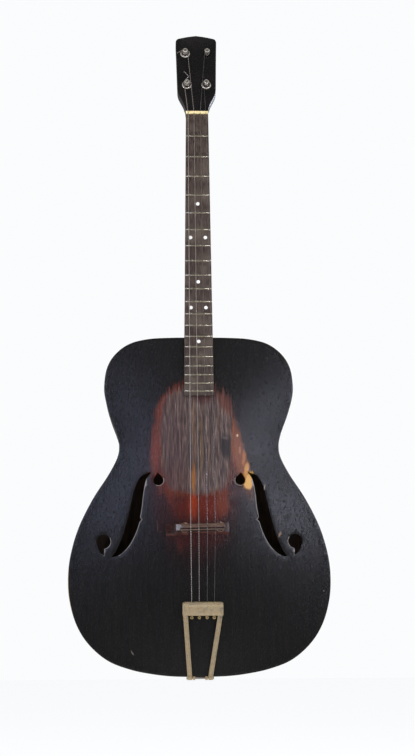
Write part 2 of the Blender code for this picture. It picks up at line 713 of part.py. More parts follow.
def make_nut(bone):
    """The nut with a slot for each string, which falls away towards the pegs."""
    half = NUT_WIDTH / 2
    side = [(GAP, -BOARD_THICKNESS), (GAP, NUT_TOP - 0.2 * MM), (1.2 * MM, NUT_TOP),
            (2.6 * MM, NUT_TOP - 0.3 * MM), (NUT_THICKNESS - GAP, NUT_TOP - 1.3 * MM),
            (NUT_THICKNESS - GAP, -BOARD_THICKNESS)]
    nut = make_object("nut", add_prism(bmesh.new(), side, -half, half, "x"), bone, NECK_FRAME)
    cuts = bmesh.new()
    for name, string in STRINGS.items():
        floor = ACTION_AT_NUT - string_radius(name) - GAP
        wide = string_radius(name) + GAP
        profile = [(-1 * MM, floor), (1 * MM, floor), (6 * MM, floor - 1.7 * MM),
                   (6 * MM, 6 * MM), (-1 * MM, 6 * MM)]
        add_prism(cuts, profile, string["nut"] * MM - wide, string["nut"] * MM + wide, "x")
    boolean(nut, make_object("nut_cutter", cuts, bone, NECK_FRAME), "DIFFERENCE")


def make_peg_fittings(metal):
    """Front ferrules, missing at one peg, and the bearing collars behind the headstock."""
    bore = POST_SHAFT_RADIUS + GAP
    back = -HEAD_THICKNESS
    ferrule = [(bore, 1.6 * MM), (5.4 * MM, 1.6 * MM), (FERRULE_RADIUS, 0.9 * MM),
               (FERRULE_RADIUS, GAP), (SLEEVE_RADIUS, GAP), (SLEEVE_RADIUS, -5 * MM),
               (bore, -5 * MM)]
    collar = [(bore, back + 5 * MM), (SLEEVE_RADIUS, back + 5 * MM), (SLEEVE_RADIUS, back - GAP),
              (6.6 * MM, back - GAP), (5.6 * MM, back - 2.0 * MM), (bore, back - 2.0 * MM)]
    for name, string in STRINGS.items():
        frame = peg_frame(name)
        if string["ferrule"]:
            make_object("peg_ferrule_" + name, add_turned(bmesh.new(), ferrule, 16, ring=True),
                        metal, frame)
        make_object("peg_collar_" + name, add_turned(bmesh.new(), collar, 16, ring=True),
                    metal, frame)


def make_peg_posts(metal):
    """The four string posts: a waisted head in front and a bored end behind."""
    for name in STRINGS:
        profile = [(0, POST_TOP), (2.4 * MM, POST_TOP - 0.2 * MM), (3.5 * MM, 8.7 * MM),
                   (3.8 * MM, 8.2 * MM), (3.4 * MM, 7.8 * MM), (POST_RADIUS, 7.5 * MM),
                   (POST_RADIUS, 2.2 * MM), (POST_SHAFT_RADIUS, 1.9 * MM),
                   (POST_SHAFT_RADIUS, -16.2 * MM), (2.2 * MM, -16.2 * MM),
                   (2.2 * MM, -24.6 * MM), (1.6 * MM, -24.6 * MM), (1.6 * MM, -18.6 * MM),
                   (0, -18.6 * MM)]
        make_object("peg_post_" + name, add_turned(bmesh.new(), profile, 14), metal, peg_frame(name))


def make_peg_buttons(plastic, metal):
    """The oval buttons behind the headstock and the screws that set their friction."""
    for name in STRINGS:
        frame = peg_frame(name)
        stem = [(0, -BUTTON_START), (5.4 * MM, -BUTTON_START), (4.4 * MM, -18.6 * MM),
                (3.8 * MM, -21.0 * MM), (3.8 * MM, -25.0 * MM), (0, -25.0 * MM)]
        button = make_object("peg_button_" + name, add_turned(bmesh.new(), stem, 14), plastic, frame)
        middle = -26.5 * MM
        oval = [(10.4 * MM * math.cos(angle), middle + 6.5 * MM * math.sin(angle))
                for angle in np.radians(np.arange(0, 360, 22.5))]
        paddle = add_prism(bmesh.new(), oval, -2.9 * MM, 2.9 * MM, "y")
        boolean(button, make_object("paddle_" + name, paddle, plastic, frame), "UNION")
        bore = [(0, 0), (2.5 * MM, 0), (2.5 * MM, -24.9 * MM), (1.6 * MM, -24.9 * MM),
                (1.6 * MM, -40 * MM), (0, -40 * MM)]
        cutter = make_object("button_bore_" + name, add_turned(bmesh.new(), bore, 12), plastic, frame)
        boolean(button, cutter, "DIFFERENCE")
        end = -BUTTON_END - GAP
        screw = [(0, end - 1.7 * MM), (1.6 * MM, end - 1.5 * MM), (2.8 * MM, end - 0.6 * MM),
                 (2.8 * MM, end), (1.3 * MM, end), (1.3 * MM, -19.0 * MM), (0, -19.0 * MM)]
        make_object("peg_screw_" + name, add_turned(bmesh.new(), screw, 12), metal, frame)


def winding_path(name):
    """The string's turns round its post, in the peg's frame, then its cut end."""
    string = STRINGS[name]
    radius = POST_RADIUS + GAP + string_radius(name)
    pitch = 2 * string_radius(name) + WINDING_GAP
    start = 180.0 if string["side"] < 0 else 0.0
    turn = string["turn"]
    steps = round(turn * POINTS_PER_LOOP / 360)
    points = []
    for step in range(steps + 1):
        turned = turn * step / steps
        angle = math.radians(start + string["side"] * turned)
        points.append(Vector((radius * math.cos(angle), radius * math.sin(angle),
                              WINDING_START + pitch * turned / 360)))
    lead = points[0] - Vector((0.0, 1.0, 0.0)) * 2 * string_radius(name)
    path = [lead] + points
    if string["cut_end"]:
        path += [Vector(point) for point in millimetres(string["cut_end"])]
    else:
        path.append(points[-1] + (points[-1] - points[-2]).normalized() * 2 * string_radius(name))
    return path


def least_self_gap(path, diameter):
    """Least gap between turns of a path that lie over half a loop apart."""
    points = np.array([tuple(point) for point in path])
    apart = POINTS_PER_LOOP // 2
    gaps = [np.linalg.norm(points[index + apart:] - points[index], axis=1).min()
            for index in range(len(points) - apart)]
    return min(gaps) - diameter


def make_tube(name, path, radius, finish, frame):
    """A round tube along a path, with closed ends."""
    curve = bpy.data.curves.new(name, "CURVE")
    curve.dimensions = "3D"
    curve.bevel_depth = radius
    curve.bevel_resolution = 1
    curve.use_fill_caps = True
    line = curve.splines.new("POLY")
    line.points.add(len(path) - 1)
    for point, place in zip(line.points, path):
        point.co = (*place, 1.0)
    curve.materials.append(finish)
    made = bpy.data.objects.new(name, curve)
    made.matrix_world = frame
    bpy.context.scene.collection.objects.link(made)


def string_path(name):
    """The taut string from its ball end over saddle and nut to the post, in the world."""
    string = STRINGS[name]
    tail = TAILPIECE_FRAME @ Vector((string["tail"] * MM, ball_height() + BALL_RADIUS + GAP, 0.0))
    across = string["saddle"] * MM
    saddle = BODY_FRAME @ Vector((across, SADDLE_POINT.y + across * math.tan(BRIDGE_SLANT),
                                  SADDLE_POINT.z))
    nut = NECK_FRAME @ Vector((string["nut"] * MM, 0.8 * MM, ACTION_AT_NUT))
    start = winding_path(name)[0]
    post = peg_frame(name) @ start
    ending = post + (nut - post).normalized() * GAP
    return [tail, saddle, nut, ending]


def eased(corners, reach):
    """A path with each inner corner eased by two points a short way from it."""
    path = [corners[0]]
    for before, corner, after in zip(corners, corners[1:], corners[2:]):
        path.append(corner + (before - corner).normalized() * reach)
        path.append(corner + (after - corner).normalized() * reach)
    path.append(corners[-1])
    return path


def make_strings(wound, plain):
    """Four strings: the taut length of each, and its turns round the post."""
    for name in STRINGS:
        metal = wound if name in ("c", "g") else plain
        path = winding_path(name)
        gap = least_self_gap(path, 2 * string_radius(name))
        print(f"winding_{name}: least gap to itself {gap / MM:.2f} mm")
        make_tube("winding_" + name, path, string_radius(name), metal, peg_frame(name))
        taut = eased(string_path(name), 0.6 * MM)
        make_tube("string_" + name, taut, string_radius(name), metal, Matrix.Identity(4))


def make_bridge_base(wood):
    """The bridge's foot, fitted to the arch, on two feet."""
    left, right = BRIDGE_BASE_SPAN
    gap_left, gap_right = BRIDGE_FOOT_GAP

    def under(across):
        return float(arch(across, SADDLE_POINT.y)) + GAP

    bottom = [(x, under(x)) for x in np.linspace(left, gap_left, 5)]
    bottom += [(x, under(x) + BRIDGE_FOOT_GAP_HEIGHT)
               for x in np.linspace(gap_left + 1.5 * MM, gap_right - 1.5 * MM, 4)]
    bottom += [(x, under(x)) for x in np.linspace(gap_right, right, 5)]
    low, high = BRIDGE_BASE_PLATEAU
    top = [(right, BRIDGE_WING_TOP), (high + 1.5 * MM, BRIDGE_WING_TOP + 0.8 * MM),
           (high, BRIDGE_BASE_TOP), (low, BRIDGE_BASE_TOP),
           (low - 1.5 * MM, BRIDGE_WING_TOP + 0.8 * MM), (left, BRIDGE_WING_TOP)]
    half = BRIDGE_BASE_THICKNESS / 2
    base = make_object("bridge_base", add_prism(bmesh.new(), bottom + top, -half, half, "y"),
                       wood, BRIDGE_FRAME)
    bevel(base, 0.8 * MM)
    boolean(base, make_object("base_bores", post_bores(BRIDGE_POST_SPAN[0] - GAP), wood,
                              BRIDGE_FRAME), "DIFFERENCE")


def post_bores(floor, ceiling=40 * MM):
    """Cylinders round both bridge posts, for the bores that take them."""
    bm = bmesh.new()
    radius = BRIDGE_POST_RADIUS + GAP + 0.1 * MM
    for across in WHEEL_X:
        add_turned(bm, [(0, ceiling), (radius, ceiling), (radius, floor), (0, floor)], 12,
                   offset=(across, 0.0, 0.0))
    return bm


def make_saddle(wood):
    """The saddle bar with its ridge, string notches and post bores."""
    half = SADDLE_THICKNESS / 2
    outline = [(-half, SADDLE_BOTTOM), (half, SADDLE_BOTTOM), (half, SADDLE_SHOULDER),
               (1.1 * MM, SADDLE_TOP), (-1.1 * MM, SADDLE_TOP), (-half, SADDLE_SHOULDER)]
    saddle = make_object("saddle", add_prism(bmesh.new(), outline, *SADDLE_SPAN, "x"),
                         wood, BRIDGE_FRAME)
    bevel(saddle, 0.7 * MM, 40)
    bores = post_bores(SADDLE_BOTTOM - 2 * MM, SADDLE_BOTTOM + 5.8 * MM)
    boolean(saddle, make_object("saddle_bores", bores, wood, BRIDGE_FRAME), "DIFFERENCE")
    notches = bmesh.new()
    for name, string in STRINGS.items():
        across = string["saddle"] * MM / math.cos(BRIDGE_SLANT)
        wide = string_radius(name) + 0.4 * MM
        floor = SADDLE_POINT.z - string_radius(name) - 0.4 * MM
        add_box(notches, (across - wide, -half - MM, floor), (across + wide, half + MM, floor + 5 * MM))
    boolean(saddle, make_object("saddle_notches", notches, wood, BRIDGE_FRAME), "DIFFERENCE")


def make_bridge_metal(metal):
    """Threaded posts in the base and a thumbwheel on each."""
    low, high = BRIDGE_POST_SPAN
    post = [(0, high), (BRIDGE_POST_RADIUS - 0.3 * MM, high),
            (BRIDGE_POST_RADIUS, high - 0.4 * MM), (BRIDGE_POST_RADIUS, low), (0, low)]
    bore = BRIDGE_POST_RADIUS + GAP
    wheel = [(bore, WHEEL_TOP), (WHEEL_RADIUS - 0.4 * MM, WHEEL_TOP),
             (WHEEL_RADIUS, WHEEL_TOP - 0.4 * MM), (WHEEL_RADIUS, WHEEL_BOTTOM + 0.4 * MM),
             (WHEEL_RADIUS - 0.4 * MM, WHEEL_BOTTOM), (bore, WHEEL_BOTTOM)]
    for side, across in zip(("bass", "treble"), WHEEL_X):
        frame = BRIDGE_FRAME @ Matrix.Translation((across, 0.0, 0.0))
        make_object("bridge_post_" + side, add_turned(bmesh.new(), post, 12), metal, frame)
        make_object("thumbwheel_" + side, add_turned(bmesh.new(), wheel, 20, ring=True),
                    metal, frame)


def sheet_section(path, thickness):
    """The outline of bent sheet metal along a path of its middle."""
    path = np.array(path)
    tangent = np.gradient(path, axis=0)
    tangent /= np.linalg.norm(tangent, axis=1)[:, None]
    normal = np.stack([-tangent[:, 1], tangent[:, 0]], axis=1) * thickness / 2
    return [tuple(point) for point in path + normal] + [tuple(p) for p in (path - normal)[::-1]]


def knuckle(low, high):
    """A rolled eye round the hinge pin."""
    profile = [(KNUCKLE_BORE, high), (KNUCKLE_RADIUS, high), (KNUCKLE_RADIUS, low),
               (KNUCKLE_BORE, low)]
    return add_turned(bmesh.new(), profile, 16, ring=True, axis="x")


def arm_mesh(side):
    """One channelled arm from the hinge up to the string plate."""
    half = ARM_WIDTH / 2
    lip = 0.9 * MM
    section = [(-half, -1.0 * MM), (half, -1.0 * MM), (half, 1.3 * MM), (half - lip, 1.3 * MM),
               (half - lip, 0.4 * MM), (lip - half, 0.4 * MM), (lip - half, 1.3 * MM),
               (-half, 1.3 * MM)]
    foot = side * ARM_FOOT_X
    head = PLATE_CENTRE_X + side * ARM_HEAD_X
    sections = [[(x + foot, 2.0 * MM, z) for x, z in section],
                [(x + head, PLATE_START + 2 * MM, z + 1.6 * MM) for x, z in section]]
    return add_loft(bmesh.new(), sections)


def make_tailpiece(metal):
    """The trapeze: a folded string plate on two arms that hinge at the tail."""
    low, high = PLATE_START, PLATE_END
    path = millimetres([(82.9, -2.8), (82.9, 1.7), (83.7, 2.6), (89.0, 2.6), (95.2, 2.6),
                        (96.2, 3.5), (97.8, 3.6), (99.5, 2.5), (100.0, 0.9), (100.0, -2.8)])
    left = PLATE_CENTRE_X - PLATE_HALF_WIDTH
    right = PLATE_CENTRE_X + PLATE_HALF_WIDTH
    plate = add_prism(bmesh.new(), sheet_section(path, PLATE_SHEET), left, right, "x")
    tailpiece = make_object("tailpiece", plate, metal, TAILPIECE_FRAME)
    rims = bmesh.new()
    for edge, width in ((left - 0.3 * MM, 2.2 * MM), (right - 1.9 * MM, 2.2 * MM)):
        add_box(rims, (edge, low + 0.3 * MM, 1.9 * MM), (edge + width, high - 2.5 * MM, 3.9 * MM))
    boolean(tailpiece, make_object("plate_rims", rims, metal, TAILPIECE_FRAME), "UNION")
    for name, side in (("bass", -1), ("treble", 1)):
        boolean(tailpiece, make_object("arm_" + name, arm_mesh(side), metal, TAILPIECE_FRAME), "UNION")
        foot = side * ARM_FOOT_X
        eye = knuckle(foot - ARM_WIDTH / 2 + 0.1 * MM, foot + ARM_WIDTH / 2 - 0.1 * MM)
        boolean(tailpiece, make_object("arm_eye_" + name, eye, metal, HINGE_FRAME), "UNION")
    slots = bmesh.new()
    for name, string in STRINGS.items():
        across = string["tail"] * MM
        wide = string_radius(name) + 0.4 * MM
        add_box(slots, (across - wide, low - 2 * MM, -4 * MM),
                (across + wide, high + 2 * MM, string_radius(name) + 0.4 * MM))
    boolean(tailpiece, make_object("string_slots", slots, metal, TAILPIECE_FRAME), "DIFFERENCE")


def ball_height():
    """How far above the hinge the strings' ball ends sit, just under the plate."""
    return PLATE_START - PLATE_SHEET / 2 - GAP - BALL_RADIUS


def make_ball_ends(brass):
    """The grooved ball end of each string, under the string plate."""
    half = BALL_LENGTH / 2
    profile = [(0.8 * MM, half), (BALL_RADIUS, half), (BALL_RADIUS - 0.5 * MM, 0.0),
               (BALL_RADIUS, -half), (0.8 * MM, -half)]
    for name, string in STRINGS.items():
        place = Matrix.Translation((string["tail"] * MM, ball_height(), 0.0))
        make_object("ball_end_" + name, add_turned(bmesh.new(), profile, 12, ring=True),
                    brass, TAILPIECE_FRAME @ place)


def make_tail_bracket(metal, steel):
    """The bracket on the tail, its hinge pin and its screws."""
    inner = -GAP
    outer = -GAP - BRACKET_SHEET
    half = BRACKET_HALF_WIDTH
    corner = 4 * MM
    length = BRACKET_LENGTH
    outline = [(-half + corner, -length), (half - corner, -length), (half, -length + corner),
               (half, -6 * MM), (10 * MM, -GAP), (-10 * MM, -GAP), (-half, -6 * MM),
               (-half, -length + corner)]
    bracket = make_object("tail_bracket", add_prism(bmesh.new(), outline, outer, inner, "y"), metal)
    near, far = BRACKET_EYES
    for low, high in ((near, far), (-far, -near)):
        lug = add_box(bmesh.new(), (low + 0.2 * MM, outer + 0.2 * MM, -MM),
                      (high - 0.2 * MM, inner - 0.1 * MM, 0.9 * MM))
        boolean(bracket, make_object("bracket_lug", lug, metal), "UNION")
        boolean(bracket, make_object("bracket_eye", knuckle(low, high), metal, HINGE_FRAME), "UNION")
    holes = bmesh.new()
    for across, level in millimetres(BRACKET_SCREWS):
        add_turned(holes, [(0, 5 * MM), (1.95 * MM, 5 * MM), (1.95 * MM, inner),
                           (3.65 * MM, outer), (3.65 * MM, -5 * MM), (0, -5 * MM)], 12,
                   offset=(across, 0.0, level), axis="y")
    across, level = millimetres([STRAP_HOLE])[0]
    add_turned(holes, [(0, 5 * MM), (4 * MM, 5 * MM), (4 * MM, -5 * MM), (0, -5 * MM)], 14,
               offset=(across, 0.0, level), axis="y")
    boolean(bracket, make_object("bracket_holes", holes, metal), "DIFFERENCE")
    reach = ARM_FOOT_X + ARM_WIDTH / 2 + GAP
    pin = [(0, reach + MM), (1.9 * MM, reach + MM), (1.9 * MM, reach), (HINGE_PIN_RADIUS, reach),
           (HINGE_PIN_RADIUS, -reach), (1.9 * MM, -reach), (1.9 * MM, -reach - MM), (0, -reach - MM)]
    make_object("hinge_pin", add_turned(bmesh.new(), pin, 12, axis="x"), steel, HINGE_FRAME)
    head = outer + 0.1 * MM
    screw = [(0, 10 * MM), (1.4 * MM, 9 * MM), (1.4 * MM, head + 1.5 * MM), (3.1 * MM, head),
             (0, head)]
    for number, (across, level) in enumerate(millimetres(BRACKET_SCREWS), start=1):
        place = Matrix.Translation((across, 0.0, level))
        make_object(f"bracket_screw_{number}", add_turned(bmesh.new(), screw, 12, axis="y"),
                    steel, BODY_FRAME @ place)


def main():
    """Clear the scene and build the guitar."""
    for existing in list(bpy.data.objects):
        bpy.data.objects.remove(existing, do_unlink=True)
    lacquer = material("black lacquered wood", (0.022, 0.021, 0.023), 0.28)
    spruce = material("bare spruce", (0.55, 0.38, 0.20), 0.7)
    rosewood = material("rosewood", (0.075, 0.040, 0.028), 0.5)
    bridge_wood = material("stained maple", (0.10, 0.055, 0.035), 0.5)
    nickel = material("tarnished nickel", (0.50, 0.45, 0.36), 0.38, 1.0)
    steel = material("steel", (0.42, 0.41, 0.39), 0.35, 1.0)
    wound = material("wound string", (0.45, 0.38, 0.30), 0.40, 1.0)
    brass = material("brass", (0.60, 0.45, 0.20), 0.35, 1.0)
    bone = material("aged bone", (0.70, 0.58, 0.36), 0.45)
    celluloid = material("ivory celluloid", (0.74, 0.66, 0.48), 0.35)

    make_plates(lacquer)
    pilots = make_ribs(lacquer)
    make_linings(spruce)
    make_blocks(spruce, pilots)
    make_tone_bars(spruce)
    make_neck(lacquer, steel, lacquer)
    make_fingerboard(rosewood)
    make_nut(bone)
    make_peg_fittings(nickel)
    make_peg_posts(nickel)
    make_peg_buttons(celluloid, steel)
    make_strings(wound, steel)
    make_bridge_base(bridge_wood)
    make_saddle(bridge_wood)
    make_bridge_metal(nickel)
    make_tailpiece(nickel)
    make_ball_ends(brass)
    make_tail_bracket(nickel, steel)


main()
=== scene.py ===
"""Tenor guitar: the finished instrument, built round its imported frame, and its studio.

Every piece is drawn in millimetres in the frame of its own assembly, with x across, y up the
instrument and z out of the face, and that frame then puts it in the room, in metres.
"""
import logging
import math
from collections.abc import Callable, Iterator, Sequence
from contextlib import contextmanager
from dataclasses import dataclass
from enum import Enum

import bpy
import numpy as np
from mathutils import Matrix, Vector
from mathutils.geometry import delaunay_2d_cdt


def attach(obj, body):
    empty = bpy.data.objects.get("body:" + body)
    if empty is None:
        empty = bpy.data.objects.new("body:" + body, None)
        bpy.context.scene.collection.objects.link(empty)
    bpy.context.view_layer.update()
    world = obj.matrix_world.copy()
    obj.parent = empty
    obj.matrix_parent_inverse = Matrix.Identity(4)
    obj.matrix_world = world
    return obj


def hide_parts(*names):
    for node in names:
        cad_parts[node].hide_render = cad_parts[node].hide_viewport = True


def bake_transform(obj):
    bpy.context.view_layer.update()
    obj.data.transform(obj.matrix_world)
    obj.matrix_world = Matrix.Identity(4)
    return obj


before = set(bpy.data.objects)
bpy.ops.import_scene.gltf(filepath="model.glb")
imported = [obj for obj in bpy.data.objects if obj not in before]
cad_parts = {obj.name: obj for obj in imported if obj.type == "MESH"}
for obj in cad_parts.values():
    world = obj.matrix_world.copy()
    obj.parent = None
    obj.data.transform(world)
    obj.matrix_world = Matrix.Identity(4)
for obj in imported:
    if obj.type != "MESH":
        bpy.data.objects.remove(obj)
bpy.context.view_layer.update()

LOG = logging.getLogger("tenor_guitar")

Point = tuple[float, ...]
Piece = bpy.types.Object

# Lengths in millimetres, shared by several assemblies
SCALE_LENGTH = 584.2
BODY_FRET = 14
FRET_COUNT = 20
BODY_LENGTH = 456.6
RIM_DEPTH = 80.0
NECK_PITCH = math.radians(3.8)
BOARD_ABOVE_EDGE = 9.0
BOARD_THICKNESS = 6.0
BOARD_LENGTH = 406.5
NUT_WIDTH = 31.5
JOINT_WIDTH = 38.6
HEAD_TILT = math.radians(13.0)
HEAD_THICKNESS = 14.0
ACTION_AT_NUT = 2.0
ACTION_AT_SADDLE = 6.0
COMPENSATION = 1.3
BRIDGE_SLANT = math.radians(1.2)
POST_RADIUS = 3.0
HINGE_FOOT = (-1.6, 2.4)
PLATE_START = 82.9
BALL_RADIUS = 2.2
GAP = 0.3
ARM_FOOT = 13.8
ARM_WIDTH = 6.3
KNUCKLE = (1.55, 2.5)
COIL_START = 2.7
COIL_SPACING = 0.5
BUTTON_LEVEL = -26.5
# Where the body's frame starts in the room, and the headstock's in the neck's frame
BODY_PLACE = (0.0, -30.1, 4.1)
HEAD_PLACE = (0.0, 4.5, -5.0)
# Points of a mesh closer than this are merged where pieces are closed, in mm
SEAM = 0.002
# A wave texture's own scale has this many units in a wave
WAVE_UNITS = 6.283


def fret_distance(number: int) -> float:
    """Distance in mm from the nut to a fret."""
    return SCALE_LENGTH * (1.0 - 2.0 ** (-number / 12.0))


def board_width(distance: float) -> float:
    """Width in mm of the fingerboard at a distance from the nut."""
    return NUT_WIDTH + (JOINT_WIDTH - NUT_WIDTH) * distance / fret_distance(BODY_FRET)


def moved(x: float, y: float, z: float) -> Matrix:
    """A frame moved by these distances."""
    return Matrix.Translation((x, y, z))


ROOM = Matrix.Scale(0.001, 4)
QUARTER_X = Matrix.Rotation(math.pi / 2, 4, "X")
QUARTER_Y = Matrix.Rotation(math.pi / 2, 4, "Y")
INTO_TAIL = Matrix.Rotation(-math.pi / 2, 4, "X")
BODY_FRAME = ROOM @ moved(*BODY_PLACE) @ QUARTER_X
NECK_FRAME = (BODY_FRAME @ moved(0.0, BODY_LENGTH, BOARD_ABOVE_EDGE)
              @ Matrix.Rotation(-NECK_PITCH, 4, "X") @ moved(0.0, fret_distance(BODY_FRET), 0.0))
HEAD_FRAME = NECK_FRAME @ moved(*HEAD_PLACE) @ Matrix.Rotation(-HEAD_TILT, 4, "X")
SADDLE_POINT = (BODY_FRAME.inverted() @ NECK_FRAME
                @ Vector((0.0, -SCALE_LENGTH - COMPENSATION, ACTION_AT_SADDLE)))
BRIDGE_FRAME = BODY_FRAME @ moved(0.0, SADDLE_POINT.y, 0.0) @ Matrix.Rotation(BRIDGE_SLANT, 4, "Z")
HINGE_FRAME = BODY_FRAME @ moved(0.0, *HINGE_FOOT)
TAILPIECE_FRAME = HINGE_FRAME @ Matrix.Rotation(
    math.atan2(SADDLE_POINT.z - HINGE_FOOT[1], SADDLE_POINT.y - HINGE_FOOT[0]), 4, "X")

# A flat drawing (a, b) pushed along c, turned so that it is pushed along x or along y
ALONG_X = Matrix(((0, 0, 1, 0), (1, 0, 0, 0), (0, 1, 0, 0), (0, 0, 0, 1)))
ALONG_Y = Matrix(((1, 0, 0, 0), (0, 0, 1, 0), (0, 1, 0, 0), (0, 0, 0, 1)))


# The bench: how pieces are started, shaped and finished

class Element(Enum):
    """What an edit picks: the value is the select mode of edit mode."""

    VERTEX = (True, False, False)
    EDGE = (False, True, False)
    FACE = (False, False, True)


Test = Callable[[np.ndarray, np.ndarray], np.ndarray]


def rest() -> None:
    """Leave edit mode and deselect every object."""
    active = bpy.context.view_layer.objects.active
    if active is not None and active.mode == "EDIT":
        bpy.ops.object.mode_set(mode="OBJECT")
    bpy.ops.object.select_all(action="DESELECT")


def focus(*pieces: Piece) -> None:
    """Select these pieces alone and make the first one active."""
    rest()
    for piece in pieces:
        piece.select_set(True)
    bpy.context.view_layer.objects.active = pieces[0]


def named(name: str) -> Piece:
    """Name the primitive that was just added, and return it."""
    piece = bpy.context.view_layer.objects.active
    piece.name = piece.data.name = name
    return piece


def read(items: Sequence, name: str, width: int = 3, kind: type = float) -> np.ndarray:
    """One property of all vertices, edges or faces, a row each."""
    flat = np.empty(len(items) * width, dtype=kind)
    items.foreach_get(name, flat)
    return flat.reshape(-1, width)


def coordinates(piece: Piece) -> np.ndarray:
    """The places of a piece's vertices, one row each."""
    return read(piece.data.vertices, "co")


def put_vertices(piece: Piece, places: np.ndarray) -> None:
    """Move a piece's vertices to these places."""
    piece.data.vertices.foreach_set("co", np.asarray(places, dtype=float).ravel())
    piece.data.update()


def middles_and_directions(piece: Piece, kind: Element) -> tuple[np.ndarray, np.ndarray]:
    """Where each element of a piece is, and which way it points.

    Args:
        piece: the piece, in object mode.
        kind: vertices and faces give their normals, edges give their own direction.

    Returns:
        Two arrays with one row for each element.
    """
    mesh = piece.data
    if kind is Element.EDGE:
        ends = read(mesh.edges, "vertices", 2, int)
        first, second = coordinates(piece)[ends].transpose(1, 0, 2)
        along = second - first
        lengths = np.maximum(np.linalg.norm(along, axis=1), 1e-9)
        return (first + second) / 2, along / lengths[:, None]
    if kind is Element.VERTEX:
        return coordinates(piece), read(mesh.vertices, "normal")
    return read(mesh.polygons, "center"), read(mesh.polygons, "normal")


@contextmanager
def editing(piece: Piece, kind: Element = Element.FACE, test: Test | None = None) -> Iterator[None]:
    """Open a piece in edit mode with all of it selected, or only what passes a test.

    Args:
        piece: the piece to edit.
        kind: the kind of element that the test looks at.
        test: takes the middles and directions of the elements and says which are picked.
    """
    focus(piece)
    mesh = piece.data
    for items in (mesh.vertices, mesh.edges, mesh.polygons):
        items.foreach_set("select", np.full(len(items), test is None))
    if test is not None:
        chosen = test(*middles_and_directions(piece, kind))
        items = {Element.VERTEX: mesh.vertices, Element.EDGE: mesh.edges,
                 Element.FACE: mesh.polygons}[kind]
        items.foreach_set("select", np.asarray(chosen, dtype=bool))
    bpy.context.tool_settings.mesh_select_mode = kind.value
    bpy.ops.object.mode_set(mode="EDIT")
    yield
    bpy.ops.object.mode_set(mode="OBJECT")


def face_outwards() -> None:
    """Turn every face of the mesh in edit mode outwards."""
    bpy.ops.mesh.select_all(action="SELECT")
    bpy.ops.mesh.normals_make_consistent(inside=False)


def close_up(piece: Piece) -> Piece:
    """Merge a piece's seams, fill its open ends and turn its faces outwards."""
    with editing(piece):
        bpy.ops.mesh.remove_doubles(threshold=SEAM)
        bpy.ops.mesh.fill_holes(sides=0)
        face_outwards()
    return piece


def placed(piece: Piece, place: Matrix) -> Piece:
    """Carry a piece's mesh into a frame and leave its object at the origin."""
    focus(piece)
    piece.matrix_world = place
    bpy.ops.object.transform_apply(location=True, rotation=True, scale=True)
    if place.determinant() < 0:
        with editing(piece):
            face_outwards()
    return piece


def prism(name: str, outline: Sequence[Point], low: float, high: float,
          place: Matrix | None = None) -> Piece:
    """A filled circle primitive fitted to an outline and extruded.

    Args:
        name: the piece's name.
        outline: corners of the flat outline.
        low: level of the near face.
        high: level of the far face.
        place: frame that turns the drawing, such as ALONG_X.

    Returns:
        The closed piece.
    """
    rest()
    bpy.ops.mesh.primitive_circle_add(vertices=len(outline), radius=1.0, fill_type="NGON")
    piece = named(name)
    put_vertices(piece, [(x, y, low) for x, y in outline])
    with editing(piece):
        bpy.ops.mesh.extrude_region_move(TRANSFORM_OT_translate={"value": (0, 0, high - low)})
        face_outwards()
    return piece if place is None else placed(piece, place)


def block(name: str, low: Point, high: Point) -> Piece:
    """A cube primitive added between two corners, for what is then bevelled, joined or cut."""
    rest()
    middle = [(a + b) / 2 for a, b in zip(low, high)]
    bpy.ops.mesh.primitive_cube_add(size=1.0, location=middle,
                                    scale=[b - a for a, b in zip(low, high)])
    piece = named(name)
    bpy.ops.object.transform_apply(location=True, rotation=True, scale=True)
    return piece


def turned(name: str, profile: Sequence[Point], steps: int, place: Matrix | None = None) -> Piece:
    """A circle primitive fitted to a closed profile of radius and height, and spun round z.

    Args:
        name: the piece's name.
        profile: corners (radius, height) of the closed profile; it may touch the axis.
        steps: faces round the axis.
        place: frame that turns or moves the finished shape.

    Returns:
        The closed piece.
    """
    rest()
    bpy.ops.mesh.primitive_circle_add(vertices=len(profile), radius=1.0, fill_type="NOTHING")
    piece = named(name)
    put_vertices(piece, [(radius, 0.0, height) for radius, height in profile])

    def on_axis(middle: np.ndarray, along: np.ndarray) -> np.ndarray:
        """The edges that lie on the axis."""
        return (np.abs(middle[:, 0]) < 1e-6) & (np.abs(along[:, 0]) < 1e-6)

    with editing(piece, Element.EDGE, on_axis):
        bpy.ops.mesh.delete(type="EDGE")
        bpy.ops.mesh.select_all(action="SELECT")
        bpy.ops.mesh.spin(steps=steps, angle=2 * math.pi, center=(0, 0, 0), axis=(0, 0, 1))
        bpy.ops.mesh.select_all(action="SELECT")
        bpy.ops.mesh.remove_doubles(threshold=SEAM)
        face_outwards()
    return piece if place is None else placed(piece, place)


def loft(name: str, sections: np.ndarray, ring: bool = True) -> Piece:
    """A grid primitive wrapped over a row of sections.

    Args:
        name: the piece's name.
        sections: an array of sections by points by three coordinates.
        ring: whether each section closes on itself, which makes a closed solid.

    Returns:
        The piece: a closed solid, or an open sheet.
    """
    sections = np.asarray(sections, dtype=float)
    rows, columns = sections.shape[:2]
    across = columns if ring else columns - 1
    rest()
    bpy.ops.mesh.primitive_grid_add(x_subdivisions=across, y_subdivisions=rows - 1, size=2.0)
    piece = named(name)
    flat = coordinates(piece)
    column = np.rint((flat[:, 0] + 1) / 2 * across).astype(int) % columns
    row = np.rint((flat[:, 1] + 1) / 2 * (rows - 1)).astype(int)
    put_vertices(piece, sections[row, column])
    return close_up(piece) if ring else piece


